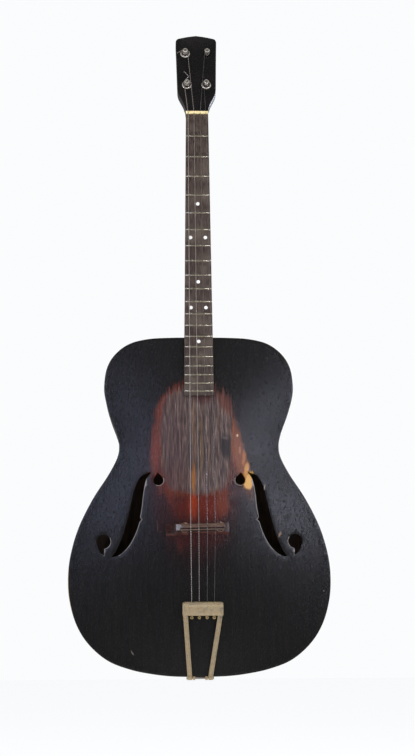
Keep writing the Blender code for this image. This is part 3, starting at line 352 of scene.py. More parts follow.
def rail(path: Sequence[Point]) -> tuple[np.ndarray, np.ndarray, np.ndarray]:
    """Points of a path with two steady directions square to it at each."""
    points = np.array([tuple(point) for point in path], dtype=float)
    tangent = np.gradient(points, axis=0)
    tangent /= np.linalg.norm(tangent, axis=1)[:, None]
    any_direction = (0.31, 0.2, 0.93)
    start = np.cross(tangent[0], any_direction)
    sides = [start / np.linalg.norm(start)]
    for direction in tangent[1:]:
        side = sides[-1] - direction * (sides[-1] @ direction)
        sides.append(side / np.linalg.norm(side))
    side = np.array(sides)
    return points, side, np.cross(tangent, side)


def tube(name: str, path: Sequence[Point], radius: float, around: int = 12) -> Piece:
    """A round wire along a path, closed at both ends."""
    points, side, other = rail(path)
    angles = np.linspace(0, 2 * math.pi, around, endpoint=False)
    rings = (points[:, None] + radius * (np.cos(angles)[None, :, None] * side[:, None]
                                         + np.sin(angles)[None, :, None] * other[:, None]))
    return loft(name, rings)


def modified(piece: Piece, kind: str, **settings: object) -> Piece:
    """Give a piece a modifier with these settings and apply it."""
    modifier = piece.modifiers.new(kind.lower(), kind)
    for name, value in settings.items():
        setattr(modifier, name, value)
    focus(piece)
    bpy.ops.object.modifier_apply(modifier=modifier.name)
    return piece


def bevelled(piece: Piece, width: float, segments: int = 2, angle: float = 40.0) -> Piece:
    """Round a piece's edges that are sharper than an angle in degrees."""
    return modified(piece, "BEVEL", width=width, segments=segments, limit_method="ANGLE",
                    angle_limit=math.radians(angle))


def marked(piece: Piece, name: str, values: np.ndarray, domain: str = "POINT") -> Piece:
    """Store values from 0 to 1 on a piece, for its finish to read."""
    piece.data.attributes.new(name, "FLOAT", domain).data.foreach_set("value", values)
    return piece


def rubbed(piece: Piece, reach: tuple[float, float]) -> Piece:
    """Mark the rounded edges of a squared piece within a reach of x, where no face is square, as
    rubbed wear and painted highlight.
    """
    middles, normals = middles_and_directions(piece, Element.FACE)
    slanted = 1.0 - np.abs(normals).max(axis=1)
    slanted *= (middles[:, 0] > reach[0]) & (middles[:, 0] < reach[1])
    corners = [len(face.vertices) for face in piece.data.polygons]
    return marked(piece, "edge", np.repeat(np.clip(slanted * 6.0, 0.0, 1.0), corners), "CORNER")


def lined(piece: Piece, finish: bpy.types.Material, second: bpy.types.Material,
          test: Test) -> Piece:
    """Give a piece its finish, and a second one to the faces that pass a test."""
    piece.data.materials.append(finish)
    piece.data.materials.append(second)
    with editing(piece, Element.FACE, test):
        piece.active_material_index = 1
        bpy.ops.object.material_slot_assign()
    return piece


class Joinery(Enum):
    """How two solids are combined."""

    JOIN = "UNION"
    CUT = "DIFFERENCE"


def combined(piece: Piece, how: Joinery, *tools: Piece) -> Piece:
    """Join solids to a piece, or cut it with them; the tools are used up."""
    for tool in tools:
        modified(piece, "BOOLEAN", operation=how.value, solver="EXACT", object=tool)
        bpy.data.objects.remove(tool, do_unlink=True)
    return piece


def copied(piece: Piece, name: str) -> Piece:
    """A copy of a piece with a mesh of its own."""
    focus(piece)
    bpy.ops.object.duplicate()
    return named(name)


def dressed(piece: Piece, finish: bpy.types.Material, body: str, nodes: Sequence[str],
            smooth: float = 35.0) -> Piece:
    """Give a finished piece its finish and its place in the frame.

    Args:
        piece: the piece, already in the room.
        finish: its material.
        body: the CAD body that it moves with; an empty name leaves that to the caller.
        nodes: the CAD nodes that it stands for.
        smooth: edges flatter than this, in degrees, are shaded smooth.

    Returns:
        The same piece.
    """
    focus(piece)
    bpy.ops.object.shade_smooth_by_angle(angle=math.radians(smooth))
    if not piece.data.materials:
        piece.data.materials.append(finish)
    if body:
        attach(piece, body)
    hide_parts(*nodes)
    LOG.info("%s: %d faces, in place of %s", piece.name, len(piece.data.polygons),
             ", ".join(nodes))
    return piece


def spline(points: Sequence[Point], steps: int) -> np.ndarray:
    """A smooth curve through all the points, with straight guides beyond both ends."""
    points = np.array(points, dtype=float)
    guides = np.vstack([2 * points[0] - points[1], points, 2 * points[-1] - points[-2]])
    curve = []
    for before, start, end, after in zip(guides, guides[1:], guides[2:], guides[3:]):
        for share in np.arange(steps) / steps:
            curve.append(0.5 * (2 * start + (end - before) * share
                                + (2 * before - 5 * start + 4 * end - after) * share ** 2
                                + (3 * start - before - 3 * end + after) * share ** 3))
    return np.array(curve + [points[-1]])


def arc(centre: Point, radius: float, start: float, end: float, count: int) -> list[Point]:
    """Points on an arc, angles in degrees."""
    return [(centre[0] + radius * math.cos(angle), centre[1] + radius * math.sin(angle))
            for angle in np.radians(np.linspace(start, end, count))]


# Materials

def linear(colour: str) -> tuple[float, float, float, float]:
    """An sRGB hex colour as linear red, green, blue and full alpha."""
    values = [int(colour[start:start + 2], 16) / 255 for start in (1, 3, 5)]
    return (*(value / 12.92 if value <= 0.04045 else ((value + 0.055) / 1.055) ** 2.4
              for value in values), 1.0)


def plain(value: object) -> object:
    """A socket's own value: a hex colour made linear, or the value as it is."""
    return linear(value) if isinstance(value, str) else value


class Nodes:
    """A node tree in the making."""

    def __init__(self, tree: bpy.types.NodeTree) -> None:
        """Take the tree of a material or of the world."""
        self.tree = tree

    def add(self, kind: str, inputs: dict, output: int | str = 0, **settings: object) -> object:
        """Add a node with its settings and links.

        Args:
            kind: the node's type, without its ShaderNode prefix.
            inputs: what each input is given: another node's output, a hex colour or a value.
            output: which output is wanted.
            settings: the node's own properties; stops are the places and colours of a ramp.

        Returns:
            The wanted output.
        """
        node = self.tree.nodes.new("ShaderNode" + kind)
        for index, (place, colour) in enumerate(settings.pop("stops", ())):
            ramp = node.color_ramp.elements
            stop = ramp[index] if index < 2 else ramp.new(place)
            stop.position, stop.color = place, plain(colour)
        for key, value in settings.items():
            setattr(node, key, value)
        for key, value in inputs.items():
            self.give(node.inputs[key], value)
        return node.outputs[output]

    def give(self, socket: bpy.types.NodeSocket, value: object) -> None:
        """Link an output to a socket, or set the socket's own value."""
        if isinstance(value, bpy.types.NodeSocket):
            self.tree.links.new(value, socket)
        else:
            socket.default_value = plain(value)

    def math(self, operation: str, *values: object) -> object:
        """One or more values put through an operation."""
        return self.add("Math", dict(enumerate(values)), operation=operation)

    def ranged(self, value: object, start: float = 0.0, end: float = 1.0,
               onto: Point = (0.0, 1.0), **settings: object) -> object:
        """A value carried from a range onto another one, and held within it."""
        return self.add("MapRange", {"Value": value, "From Min": start, "From Max": end,
                                     "To Min": onto[0], "To Max": onto[1]}, **settings)

    def ramp(self, value: object, *stops: tuple[float, object]) -> object:
        """A value turned into colours, each given with its place."""
        return self.add("ValToRGB", {0: value}, stops=stops)


class Shading(Nodes):
    """A material in the making, in the room's coordinates or in a piece's own map."""

    def __init__(self, name: str, coordinates_from: str = "Object") -> None:
        """Start a material with its Principled shader and its coordinates."""
        self.material = bpy.data.materials.new(name)
        self.material.use_nodes = True
        super().__init__(self.material.node_tree)
        self.shader = self.tree.nodes["Principled BSDF"]
        self.place = self.add("TexCoord", {}, coordinates_from)

    def sized(self, *lengths: float) -> object:
        """The coordinates counted in these lengths, in mm along x, y and z."""
        return self.add("Mapping", {"Vector": self.place,
                                    "Scale": [1000 / length for length in lengths]})

    def noise(self, scale: float, detail: float = 2.0, roughness: float = 0.5,
              place: object = None, distortion: float = 0.0, output: str = "Fac") -> object:
        """Noise from 0 to 1, over the coordinates or over another place."""
        return self.add("TexNoise", {"Vector": self.place if place is None else place,
                                     "Scale": scale, "Detail": detail, "Roughness": roughness,
                                     "Distortion": distortion}, output)

    def stored(self, name: str) -> object:
        """What a piece stores under a name, from 0 to 1."""
        return self.add("Attribute", {}, "Fac", attribute_name=name)

    def mix(self, share: object, first: object, second: object, blend: str = "MIX") -> object:
        """Two colours mixed, by a share of the second."""
        return self.add("Mix", {0: share, 6: first, 7: second}, 2, data_type="RGBA",
                        blend_type=blend)

    def bump(self, height: object, strength: float, distance: float = 0.0003) -> object:
        """Relief that follows a height; its distance is in metres."""
        return self.add("Bump", {"Height": height, "Strength": strength, "Distance": distance})

    def surface(self, **inputs: object) -> bpy.types.Material:
        """Set or link the shader's sockets by their names, with _ for a space, and finish."""
        for name, value in inputs.items():
            self.give(self.shader.inputs[name.replace("_", " ")], value)
        return self.material


@dataclass(frozen=True)
class Patch:
    """A soft oval of colour on the top, squared or not: sizes in mm from the tail's middle."""

    colour: str
    centre: tuple[float, float]
    reach: tuple[float, float]
    softness: float = 0.2
    strength: float = 1.0
    lean: float = 0.0
    squared: bool = False


@dataclass(frozen=True)
class SunburstLacquer:
    """Black nitrocellulose sunburst sprayed over spruce, rubbed through to the wood by playing.

    The lacquer is glossy but follows the grain, so its reflections are combed upright; where it
    is gone, brown-grey spruce shows matt between dark grain lines. The combing is drawn 1.1 mm
    wide, coarser than the real 0.5 mm, so that it shows.
    """

    black: str = "#0b0b0c"
    brown_black: str = "#130f0d"
    winter_grain: tuple[tuple[float, str], ...] = (
        (0.30, "#2a2121"), (0.45, "#453a39"), (0.57, "#5c504c"), (0.72, "#85776a"))
    wood_tints: tuple[str, str] = ("#e6dde4", "#fbeddc")
    rims: tuple[tuple[str, tuple[tuple[float, str], ...]], ...] = (
        ("edge", ((0.0, "#332c28"), (0.5, "#4a3b2d"), (0.9, "#94703e"))),
        # The f-holes' lips: pale grey, partly wear and partly a painted highlight
        ("lip", ((0.3, "#5e5a58"), (0.9, "#8d8883"))))
    grain_width: float = 0.95
    grain_length: float = 19.0
    grain_depth: float = 25.0
    comb_width: float = 1.1
    comb_length: float = 5.5
    blotch_size: float = 11.0
    blotch_shift: tuple[float, float] = (5.0, 10.0)
    flake_size: float = 9.0
    gloss: tuple[float, float] = (0.17, 0.40)
    burst: tuple[Patch, ...] = (
        Patch("#150a0b", (-3, 268), (74, 130), 0.2, 0.9),
        Patch("#250c0b", (-4, 268), (63, 112), 0.14, 0.95),
        Patch("#4b1906", (-6, 304), (58, 94), 0.07, 0.95),
        Patch("#3d0f06", (0, 226), (38, 31), 0.28, 1.0),
        Patch("#5c2713", (-56, 318), (7, 46), 0.5, 0.8, 7),
        Patch("#5f2a18", (-42, 368), (8, 24), 0.5, 0.7, 38),
        Patch("#6c391b", (50, 306), (9, 62), 0.5, 0.9, -15),
    )
    bare: tuple[Patch, ...] = (
        Patch("#43201a", (-34, 262), (20, 18), 0.8, 0.5),
        Patch("#40282a", (-34, 306), (17, 50), 0.9, 0.45),
        Patch("#6e5238", (-6.9, 322), (2.0, 46), 0.6, 0.4),
        Patch("#8a5418", (-7.6, 262), (2.6, 20), 0.5, 0.8),
        Patch("#6c5438", (3.1, 308), (1.8, 44), 0.5, 0.55),
        Patch("#4c1d16", (6, 372), (13, 8), 0.6, 0.6),
        Patch("#54281c", (38, 368), (11, 22), 0.5, 0.8, -32),
        Patch("#1b1c1e", (36, 306), (8.5, 17), 0.35, 0.85),
        Patch("#5c524e", (35, 317), (4, 2.4), 0.7, 0.6),
        Patch("#26262b", (-13, 306), (2.6, 22), 0.7, 0.5),
    )
    embers: tuple[Patch, ...] = (
        Patch("#5a260e", (0, 243), (40, 6), 0.7, 0.75),
        Patch("#5c1905", (4, 224), (24, 17), 0.7, 0.8),
        Patch("#7c2602", (-8.5, 227), (5.2, 18), 0.5, 0.95),
        Patch("#63280f", (30, 228), (9, 15), 0.6, 0.7),
        Patch("#3a120b", (-26, 178), (5, 14), 0.6, 0.8),
        Patch("#340d0a", (0, 183), (32, 12), 0.5, 0.9),
    )
    worn: Patch = Patch("", (-3, 316), (48, 69), 0.08, 0.95, 2, True)
    worn_low: Patch = Patch("", (-1, 272), (43, 31), 0.16, 0.95)
    chips: tuple[Patch, ...] = (
        Patch("#b38743", (67.2, 259), (6.0, 13.0), 0.2, 1.0, 17),
        Patch("#a27236", (63.5, 274), (2.8, 10), 0.4, 0.95, 8),
        Patch("#935c34", (60.0, 290), (2.2, 10), 0.5, 0.7, 6),
        Patch("#c8b48c", (51.4, 320), (1.1, 2.0), 0.4, 0.8),
        Patch("#8a6040", (55.0, 300), (1.3, 5), 0.4, 0.7),
        Patch("#9a8d7c", (88.0, 250), (0.8, 3.0), 0.4, 0.6, 12),
        Patch("#86684a", (107.5, 187), (1.1, 4.2), 0.4, 0.7, 24),
        Patch("#6f665c", (-90, 32), (0.5, 3.2), 0.5, 0.6, -40),
        Patch("#3c3a38", (-84, 366), (2.2, 0.6), 0.5, 0.4),
        Patch("#4b3730", (-56, 199), (0.5, 7.0), 0.5, 0.6),
        Patch("#6a6460", (166, 111), (1.0, 1.2), 0.5, 0.6),
        Patch("#5a4436", (106, 209), (0.8, 2.6), 0.5, 0.6, 30),
    )

    def spread(self, shading: Shading, patch: Patch, place: object, ragged: object) -> object:
        """How strongly a patch covers each place, from 0 to its strength."""
        local = shading.add("Mapping", {
            "Vector": place, "Location": (patch.centre[0], 0.0, patch.centre[1]),
            "Rotation": (0.0, math.radians(patch.lean), 0.0),
            "Scale": (patch.reach[0], 1e6, patch.reach[1])}, vector_type="TEXTURE")
        if patch.squared:
            local = shading.add("VectorMath", {0: local, 1: local}, operation="MULTIPLY")
        away = shading.add("VectorMath", {0: local}, "Value", operation="LENGTH")
        if patch.squared:
            away = shading.math("SQRT", away)
        return shading.ranged(shading.math("ADD", away, ragged), 1.0 - patch.softness,
                              1.0 + patch.softness, (patch.strength, 0.0),
                              interpolation_type="SMOOTHSTEP")

    def covered(self, shading: Shading, below: object, patches: Sequence[Patch], place: object,
                ragged: object) -> object:
        """Lay patches of colour over what is below them.

        Args:
            shading: the material in the making.
            below: the colour under the patches.
            patches: the patches, from the lowest to the highest.
            place: coordinates in mm on the top.
            ragged: a value along the grain that frays the patches' borders.

        Returns:
            The colour with the patches on it.
        """
        for patch in patches:
            below = shading.mix(self.spread(shading, patch, place, ragged), below, patch.colour)
        return below

    def material(self) -> bpy.types.Material:
        """The finish of the top: lacquer, wood where worn, chips, rubbed rims and lips with a
        painted highlight.
        """
        shading = Shading("sunburst nitrocellulose lacquer on spruce")
        across, up = self.blotch_shift
        place = shading.add("Mapping", {
            "Vector": shading.place, "Location": (-across / 2, 0.0, -BODY_PLACE[2] - up / 2),
            "Scale": (1000.0, 1000.0, 1000.0)})
        blotch = shading.noise(1 / self.blotch_size, 4.0, 0.65, place, output="Color")
        place = shading.add("VectorMath", {0: blotch, 1: (across, 0.0, up), 2: place},
                            operation="MULTIPLY_ADD")
        fibres = shading.sized(self.grain_width, self.grain_depth, self.grain_length)
        grain = shading.noise(1.0, 3.0, 0.6, fibres)
        wide_grain = shading.noise(0.35, place=fibres)
        ragged = shading.ranged(wide_grain, 0.3, 0.7, (-0.07, 0.07))

        black = shading.mix(shading.ranged(wide_grain, 0.35, 0.75), self.black, self.brown_black)
        colour = self.covered(shading, black, self.burst + self.embers, place, ragged)

        wood = shading.ramp(grain, *self.winter_grain)
        shade = shading.mix(shading.ranged(wide_grain, 0.40, 0.62), *self.wood_tints)
        wood = shading.mix(1.0, wood, shade, "MULTIPLY")
        wood = self.covered(shading, wood, self.bare, place, ragged)
        worn = shading.math("MAXIMUM", *(self.spread(shading, patch, place, ragged)
                                         for patch in (self.worn, self.worn_low)))
        colour = shading.mix(worn, colour, wood)
        streaks = shading.ranged(grain, 0.35, 0.6, (0.62, 1.0))
        colour = shading.add("VectorMath", {0: colour, "Scale": streaks}, operation="SCALE")
        colour = self.covered(shading, colour, self.chips, place, ragged)

        flakes = shading.noise(1 / self.flake_size, 5.0, 0.7, place)
        # Rims are rubbed wear; the f-holes' lips are painted pale, partly wear and partly a painted
        # highlight
        for name, stops in self.rims:
            amount = shading.stored(name)
            cover = shading.ranged(shading.math("MULTIPLY_ADD", flakes, 0.8, amount), 0.68, 0.86)
            colour = shading.mix(cover, colour, shading.ramp(amount, *stops))

        comb = shading.noise(1.0, place=shading.sized(self.comb_width, self.grain_depth,
                                                      self.comb_length))
        relief = shading.math("MULTIPLY_ADD", comb, 1.4, grain)
        rough = shading.math("MULTIPLY_ADD", comb, 0.16, shading.ranged(worn, onto=self.gloss))
        return shading.surface(Base_Color=colour, Roughness=rough,
                               Normal=shading.bump(relief, 0.5), IOR=1.5)


@dataclass(frozen=True)
class BlackLacquer:
    """Black nitrocellulose lacquer on maple, as on the sides, back and neck.

    It is glossy with a fine ripple, brownish where it is thin, and worn to the wood on edges.
    """

    name: str = "black nitrocellulose lacquer on maple"
    black: str = "#0b0a0b"
    thin: str = "#17110f"
    wood: str = "#5e4730"
    figure_width: float = 9.0
    figure_length: float = 2.6
    gloss: tuple[float, float] = (0.14, 0.30)

    def material(self) -> bpy.types.Material:
        """The finish, with the figure of the maple across its length."""
        shading = Shading(self.name)
        ripple = shading.noise(0.5, 3.0, place=shading.sized(
            self.figure_width, self.figure_width, self.figure_length))
        cloud = shading.noise(28.0, 5.0, 0.7)
        colour = shading.mix(shading.ranged(cloud, 0.45, 0.75), self.black, self.thin)
        worn = shading.math("MULTIPLY", shading.ranged(cloud, 0.50, 0.58), shading.stored("edge"))
        colour = shading.mix(worn, colour, self.wood)
        relief = shading.math("MULTIPLY_ADD", ripple, 1.5, shading.noise(700.0))
        return shading.surface(Base_Color=colour, Normal=shading.bump(relief, 0.05), IOR=1.5,
                               Roughness=shading.ranged(cloud, onto=self.gloss))


@dataclass(frozen=True)
class Timber:
    """A wood with its grain up the instrument, from dark to light, oiled, sanded or stained.

    Its pores are drawn coarser than they are, because the real ones are too fine to see.
    """

    name: str
    dark: str
    middle: str
    light: str
    pore_width: float
    pore_length: float
    roughness: tuple[float, float]
    grain_axis: int = 2
    relief: float = 0.3
    bloom: str = ""
    edge: str = ""

    def material(self) -> bpy.types.Material:
        """The finish, with pores drawn out along the grain."""
        shading = Shading(self.name)
        lengths = [self.pore_width] * 3
        lengths[self.grain_axis] = self.pore_length
        grain = shading.noise(1.0, 4.0, 0.6, shading.sized(*lengths))
        colour = shading.ramp(grain, (0.34, self.dark), (0.52, self.middle), (0.70, self.light))
        cloud = shading.noise(45.0, 3.0)
        if self.bloom:
            colour = shading.mix(shading.ranged(cloud, 0.45, 0.72, (0.0, 0.6)), colour, self.bloom)
        # Marked edges take the edge colour: wear, and on the bridge base also a painted highlight
        if self.edge:
            worn = shading.math("MULTIPLY", shading.stored("edge"), cloud)
            colour = shading.mix(shading.ranged(worn, 0.25, 0.55), colour, self.edge)
        return shading.surface(Base_Color=colour, Normal=shading.bump(grain, self.relief),
                               Roughness=shading.ranged(cloud, onto=self.roughness))


@dataclass(frozen=True)
class AgedMetal:
    """Plated or bare metal that has dulled: a clean colour, a tarnish and a deposit in patches.

    Clean places shine, tarnish is a darker, warmer film that hides part of the metal's shine, and
    fine scratches run through both.
    """

    name: str
    clean: str
    tarnish: str
    deposit: str
    patch_size: float
    tarnished: tuple[float, float] = (0.42, 0.62)
    roughness: tuple[float, float] = (0.28, 0.5)
    scratches: float = 0.15
    film: float = 0.5
    scratch_scale: Point = (900.0, 900.0, 4200.0)

    def material(self) -> bpy.types.Material:
        """The finish, with tarnish in patches of a real size."""
        shading = Shading(self.name)
        patches = shading.noise(1000 / self.patch_size, 6.0, 0.7)
        spread = shading.ranged(patches, *self.tarnished)
        colour = shading.mix(spread, self.clean, self.tarnish)
        specks = shading.noise(3200 / self.patch_size, 3.0)
        specks = shading.ranged(specks, 0.60, 0.70, (0.0, 0.85))
        colour = shading.mix(specks, colour, self.deposit)
        fine = shading.add("Mapping", {"Vector": shading.place, "Scale": self.scratch_scale})
        fine = shading.noise(1.0, place=fine)
        return shading.surface(
            Base_Color=colour, Metallic=shading.ranged(spread, onto=(1.0, self.film)),
            Roughness=shading.ranged(spread, onto=self.roughness),
            Normal=shading.bump(fine, self.scratches, 0.0002))


@dataclass(frozen=True)
class WoundWire:
    """Monel wire wound on a steel core, dulled: fine ridges across the string.

    The real winding has a ridge each 0.2 mm; it is drawn at 0.8 mm so that it shows.
    """

    length: float
    ridge: float = 0.8

    def material(self) -> bpy.types.Material:
        """The finish of one string, with its ridges along the piece's own map."""
        shading = Shading("monel wound wire", "UV")
        scale = self.length / self.ridge / WAVE_UNITS
        ridges = shading.add("TexWave", {"Vector": shading.place, "Scale": scale,
                                         "Distortion": 0.0}, "Fac", bands_direction="Y")
        # The colour runs dark between turns and light on their crests: painted shade and highlight
        return shading.surface(
            Base_Color=shading.mix(ridges, "#8a7f79", "#e6dcd4"), Metallic=0.9,
            Roughness=shading.ranged(ridges, onto=(0.45, 0.30)),
            Normal=shading.bump(ridges, 0.5, 0.0002))


@dataclass(frozen=True)
class Moulding:
    """Bone, celluloid or pearl: a pale solid with clouds in it, polished by handling."""

    name: str
    pale: str
    deep: str
    cloud_size: float
    roughness: tuple[float, float]
    sheen_colours: tuple[str, str] = ("", "")
    depth: float = 0.0

    def material(self) -> bpy.types.Material:
        """The finish, with clouds of a real size and, for pearl, two shifting tints."""
        shading = Shading(self.name)
        cloud = shading.noise(1000 / self.cloud_size, 4.0, distortion=0.6)
        colour = shading.mix(shading.ranged(cloud, 0.35, 0.68), self.pale, self.deep)
        if self.sheen_colours[0]:
            facing = shading.add("LayerWeight", {"Blend": 0.4}, "Facing")
            tint = shading.ramp(shading.math("ADD", facing, cloud),
                                *zip((0.45, 0.75), self.sheen_colours))
            colour = shading.mix(0.35, colour, tint)
        return shading.surface(
            Base_Color=colour, Roughness=shading.ranged(cloud, onto=self.roughness),
            Normal=shading.bump(cloud, 0.1, 0.0002), Subsurface_Weight=self.depth,
            Subsurface_Scale=0.002)


@dataclass(frozen=True)
class Workshop:
    """The finishes on the bench, made once and shared by the assemblies."""

    top: bpy.types.Material
    lacquer: bpy.types.Material
    spruce: bpy.types.Material
    rosewood: bpy.types.Material
    stained_maple: bpy.types.Material
    maple: bpy.types.Material
    nickel: bpy.types.Material
    peg_nickel: bpy.types.Material
    dirt_and_painted_shade: bpy.types.Material
    copper_nickel: bpy.types.Material
    fret_wire: bpy.types.Material
    steel: bpy.types.Material
    plain_wire: bpy.types.Material
    brass: bpy.types.Material
    bone: bpy.types.Material
    celluloid: bpy.types.Material
    pearl: bpy.types.Material


def make_finishes() -> Workshop:
    """Mix every finish of the instrument."""
    return Workshop(
        top=SunburstLacquer().material(),
        lacquer=BlackLacquer().material(),
        # Spruce left bare inside the box: dry, browned by age and dust, with darker winter grain
        spruce=Timber("aged bare spruce", "#2e2016", "#46321f", "#5a4229", 1.4, 60.0,
                      (0.6, 0.8)).material(),
        # Rosewood, oiled and played: dark pores in brown, greyed where fingers and dust have been
        rosewood=Timber("played rosewood", "#211812", "#3b2f28", "#54463b", 0.9, 14.0,
                        (0.42, 0.62), bloom="#5f5347").material(),
        # Stained and lacquered maple: dark brown-red, glossy, redder on its edges, partly rubbed
        # wear and partly a painted highlight
        stained_maple=Timber("lacquered stained maple", "#150b0a", "#27120e", "#3a1b13", 0.9, 7.0,
                             (0.10, 0.26), grain_axis=0, relief=0.15, bloom="#3c3134",
                             edge="#4c2a24").material(),
        # Maple whose stain the strings have rubbed off: brown wood with a trace of olive
        maple=Timber("rubbed maple", "#2e2018", "#503c31", "#6f584a", 0.9, 7.0,
                     (0.30, 0.5), grain_axis=0, bloom="#544236").material(),
        # Nickel on copper: thumbwheels rubbed through at their rims, so pinkish and bright
        copper_nickel=AgedMetal("nickel plate worn to copper", "#e0c4b4", "#b8907e", "#5a4034",
                                3.0, (0.25, 0.55), (0.18, 0.32), film=0.3).material(),
        # Nickel plate on brass: warm grey, brassy where it has gone, with brown specks
        nickel=AgedMetal("tarnished nickel plate on brass", "#c1b398", "#9e8a68", "#6f5238",
                         6.0, (0.32, 0.58), film=0.35).material(),
        # The pegs' nickel: handled less, so it is greyer and brighter
        peg_nickel=AgedMetal("worn nickel plate", "#e2dccf", "#b0a592", "#4a4038", 3.0,
                             (0.5, 0.7), (0.10, 0.26)).material(),
        # Hard dark dirt on plate that no cloth reaches, laid in recesses where it also stands in as
        # painted shade
        dirt_and_painted_shade=AgedMetal("dirt on plated metal", "#4f443b", "#2e2620", "#1c1612", 2.0,
                        (0.35, 0.5), (0.35, 0.55), film=0.0).material(),
        # Nickel silver: rubbed bright by the strings
        fret_wire=AgedMetal("nickel silver fret wire", "#cfc5ae", "#a69b82", "#6f6452",
                            5.0, (0.5, 0.75), (0.22, 0.38)).material(),
        # Steel: grey with a little brown rust
        steel=AgedMetal("plain steel", "#b9b6b0", "#8f8a83", "#6a4a34", 4.0).material(),
        plain_wire=AgedMetal("plain steel wire", "#a9a6a4", "#7f7a76", "#64584c", 20.0,
                             (0.5, 0.8), (0.2, 0.35), 0.05).material(),
        # Brass: yellow, dulled to brown in patches
        brass=AgedMetal("dull brass", "#d9c08a", "#a88a52", "#6f5a38", 3.0).material(),
        # Bone: ivory, yellowed, with fine clouds
        bone=Moulding("aged bone", "#e2d3a2", "#c9b47c", 6.0, (0.35, 0.5), depth=0.1).material(),
        # Celluloid: ivory with streaks, glossy
        celluloid=Moulding("ivory celluloid", "#e6d9b4", "#d2bd8a", 14.0, (0.15, 0.3),
                           depth=0.1).material(),
        # Pearl: white with green and pink lights
        pearl=Moulding("mother of pearl", "#efece4", "#cfcfc8", 2.5, (0.12, 0.25),
                       ("#dfe9e2", "#efdfe0")).material())


# The studio

@dataclass(frozen=True)
class Viewpoint:
    """Where the photograph was taken from, in metres and radians."""

    place: Point = (-0.060, -2.123, 0.060)
    yaw: float = 0.03442
    pitch: float = 0.16304
    roll: float = -0.00602
    upright_field: float = math.radians(27.305)

    def build(self) -> None:
        """Set up the camera and make it the scene's."""
        data = bpy.data.cameras.new("camera")
        data.sensor_fit = "VERTICAL"
        data.sensor_height = 36.0
        data.lens = data.sensor_height / 2 / math.tan(self.upright_field / 2)
        forward = Vector((math.sin(self.yaw) * math.cos(self.pitch),
                          math.cos(self.yaw) * math.cos(self.pitch), math.sin(self.pitch)))
        level = Vector((math.cos(self.yaw), -math.sin(self.yaw), 0.0))
        right = math.cos(self.roll) * level + math.sin(self.roll) * level.cross(forward)
        turn = Matrix((right, right.cross(forward), -forward)).transposed()
        camera = bpy.data.objects.new("camera", data)
        camera.matrix_world = moved(*self.place) @ turn.to_4x4()
        bpy.context.scene.collection.objects.link(camera)
        bpy.context.scene.camera = camera


@dataclass(frozen=True)
class SoftLight:
    """A large soft light: its place, what it faces, size in metres, strength and colour."""

    name: str
    place: Point
    target: Point
    size: tuple[float, float]
    watts: float
    colour: str
    mirrored: bool = False

    def build(self) -> None:
        """Hang the light: the camera doesn't see it, and gloss may not mirror it."""
        data = bpy.data.lights.new(self.name, "AREA")
        data.shape = "RECTANGLE"
        data.size, data.size_y = self.size
        data.energy = self.watts
        data.color = linear(self.colour)[:3]
        light = bpy.data.objects.new(self.name, data)
        aim = Vector(self.target) - Vector(self.place)
        light.matrix_world = moved(*self.place) @ aim.to_track_quat("-Z", "Y").to_matrix().to_4x4()
        light.visible_camera = False
        light.visible_glossy = self.mirrored
        bpy.context.scene.collection.objects.link(light)


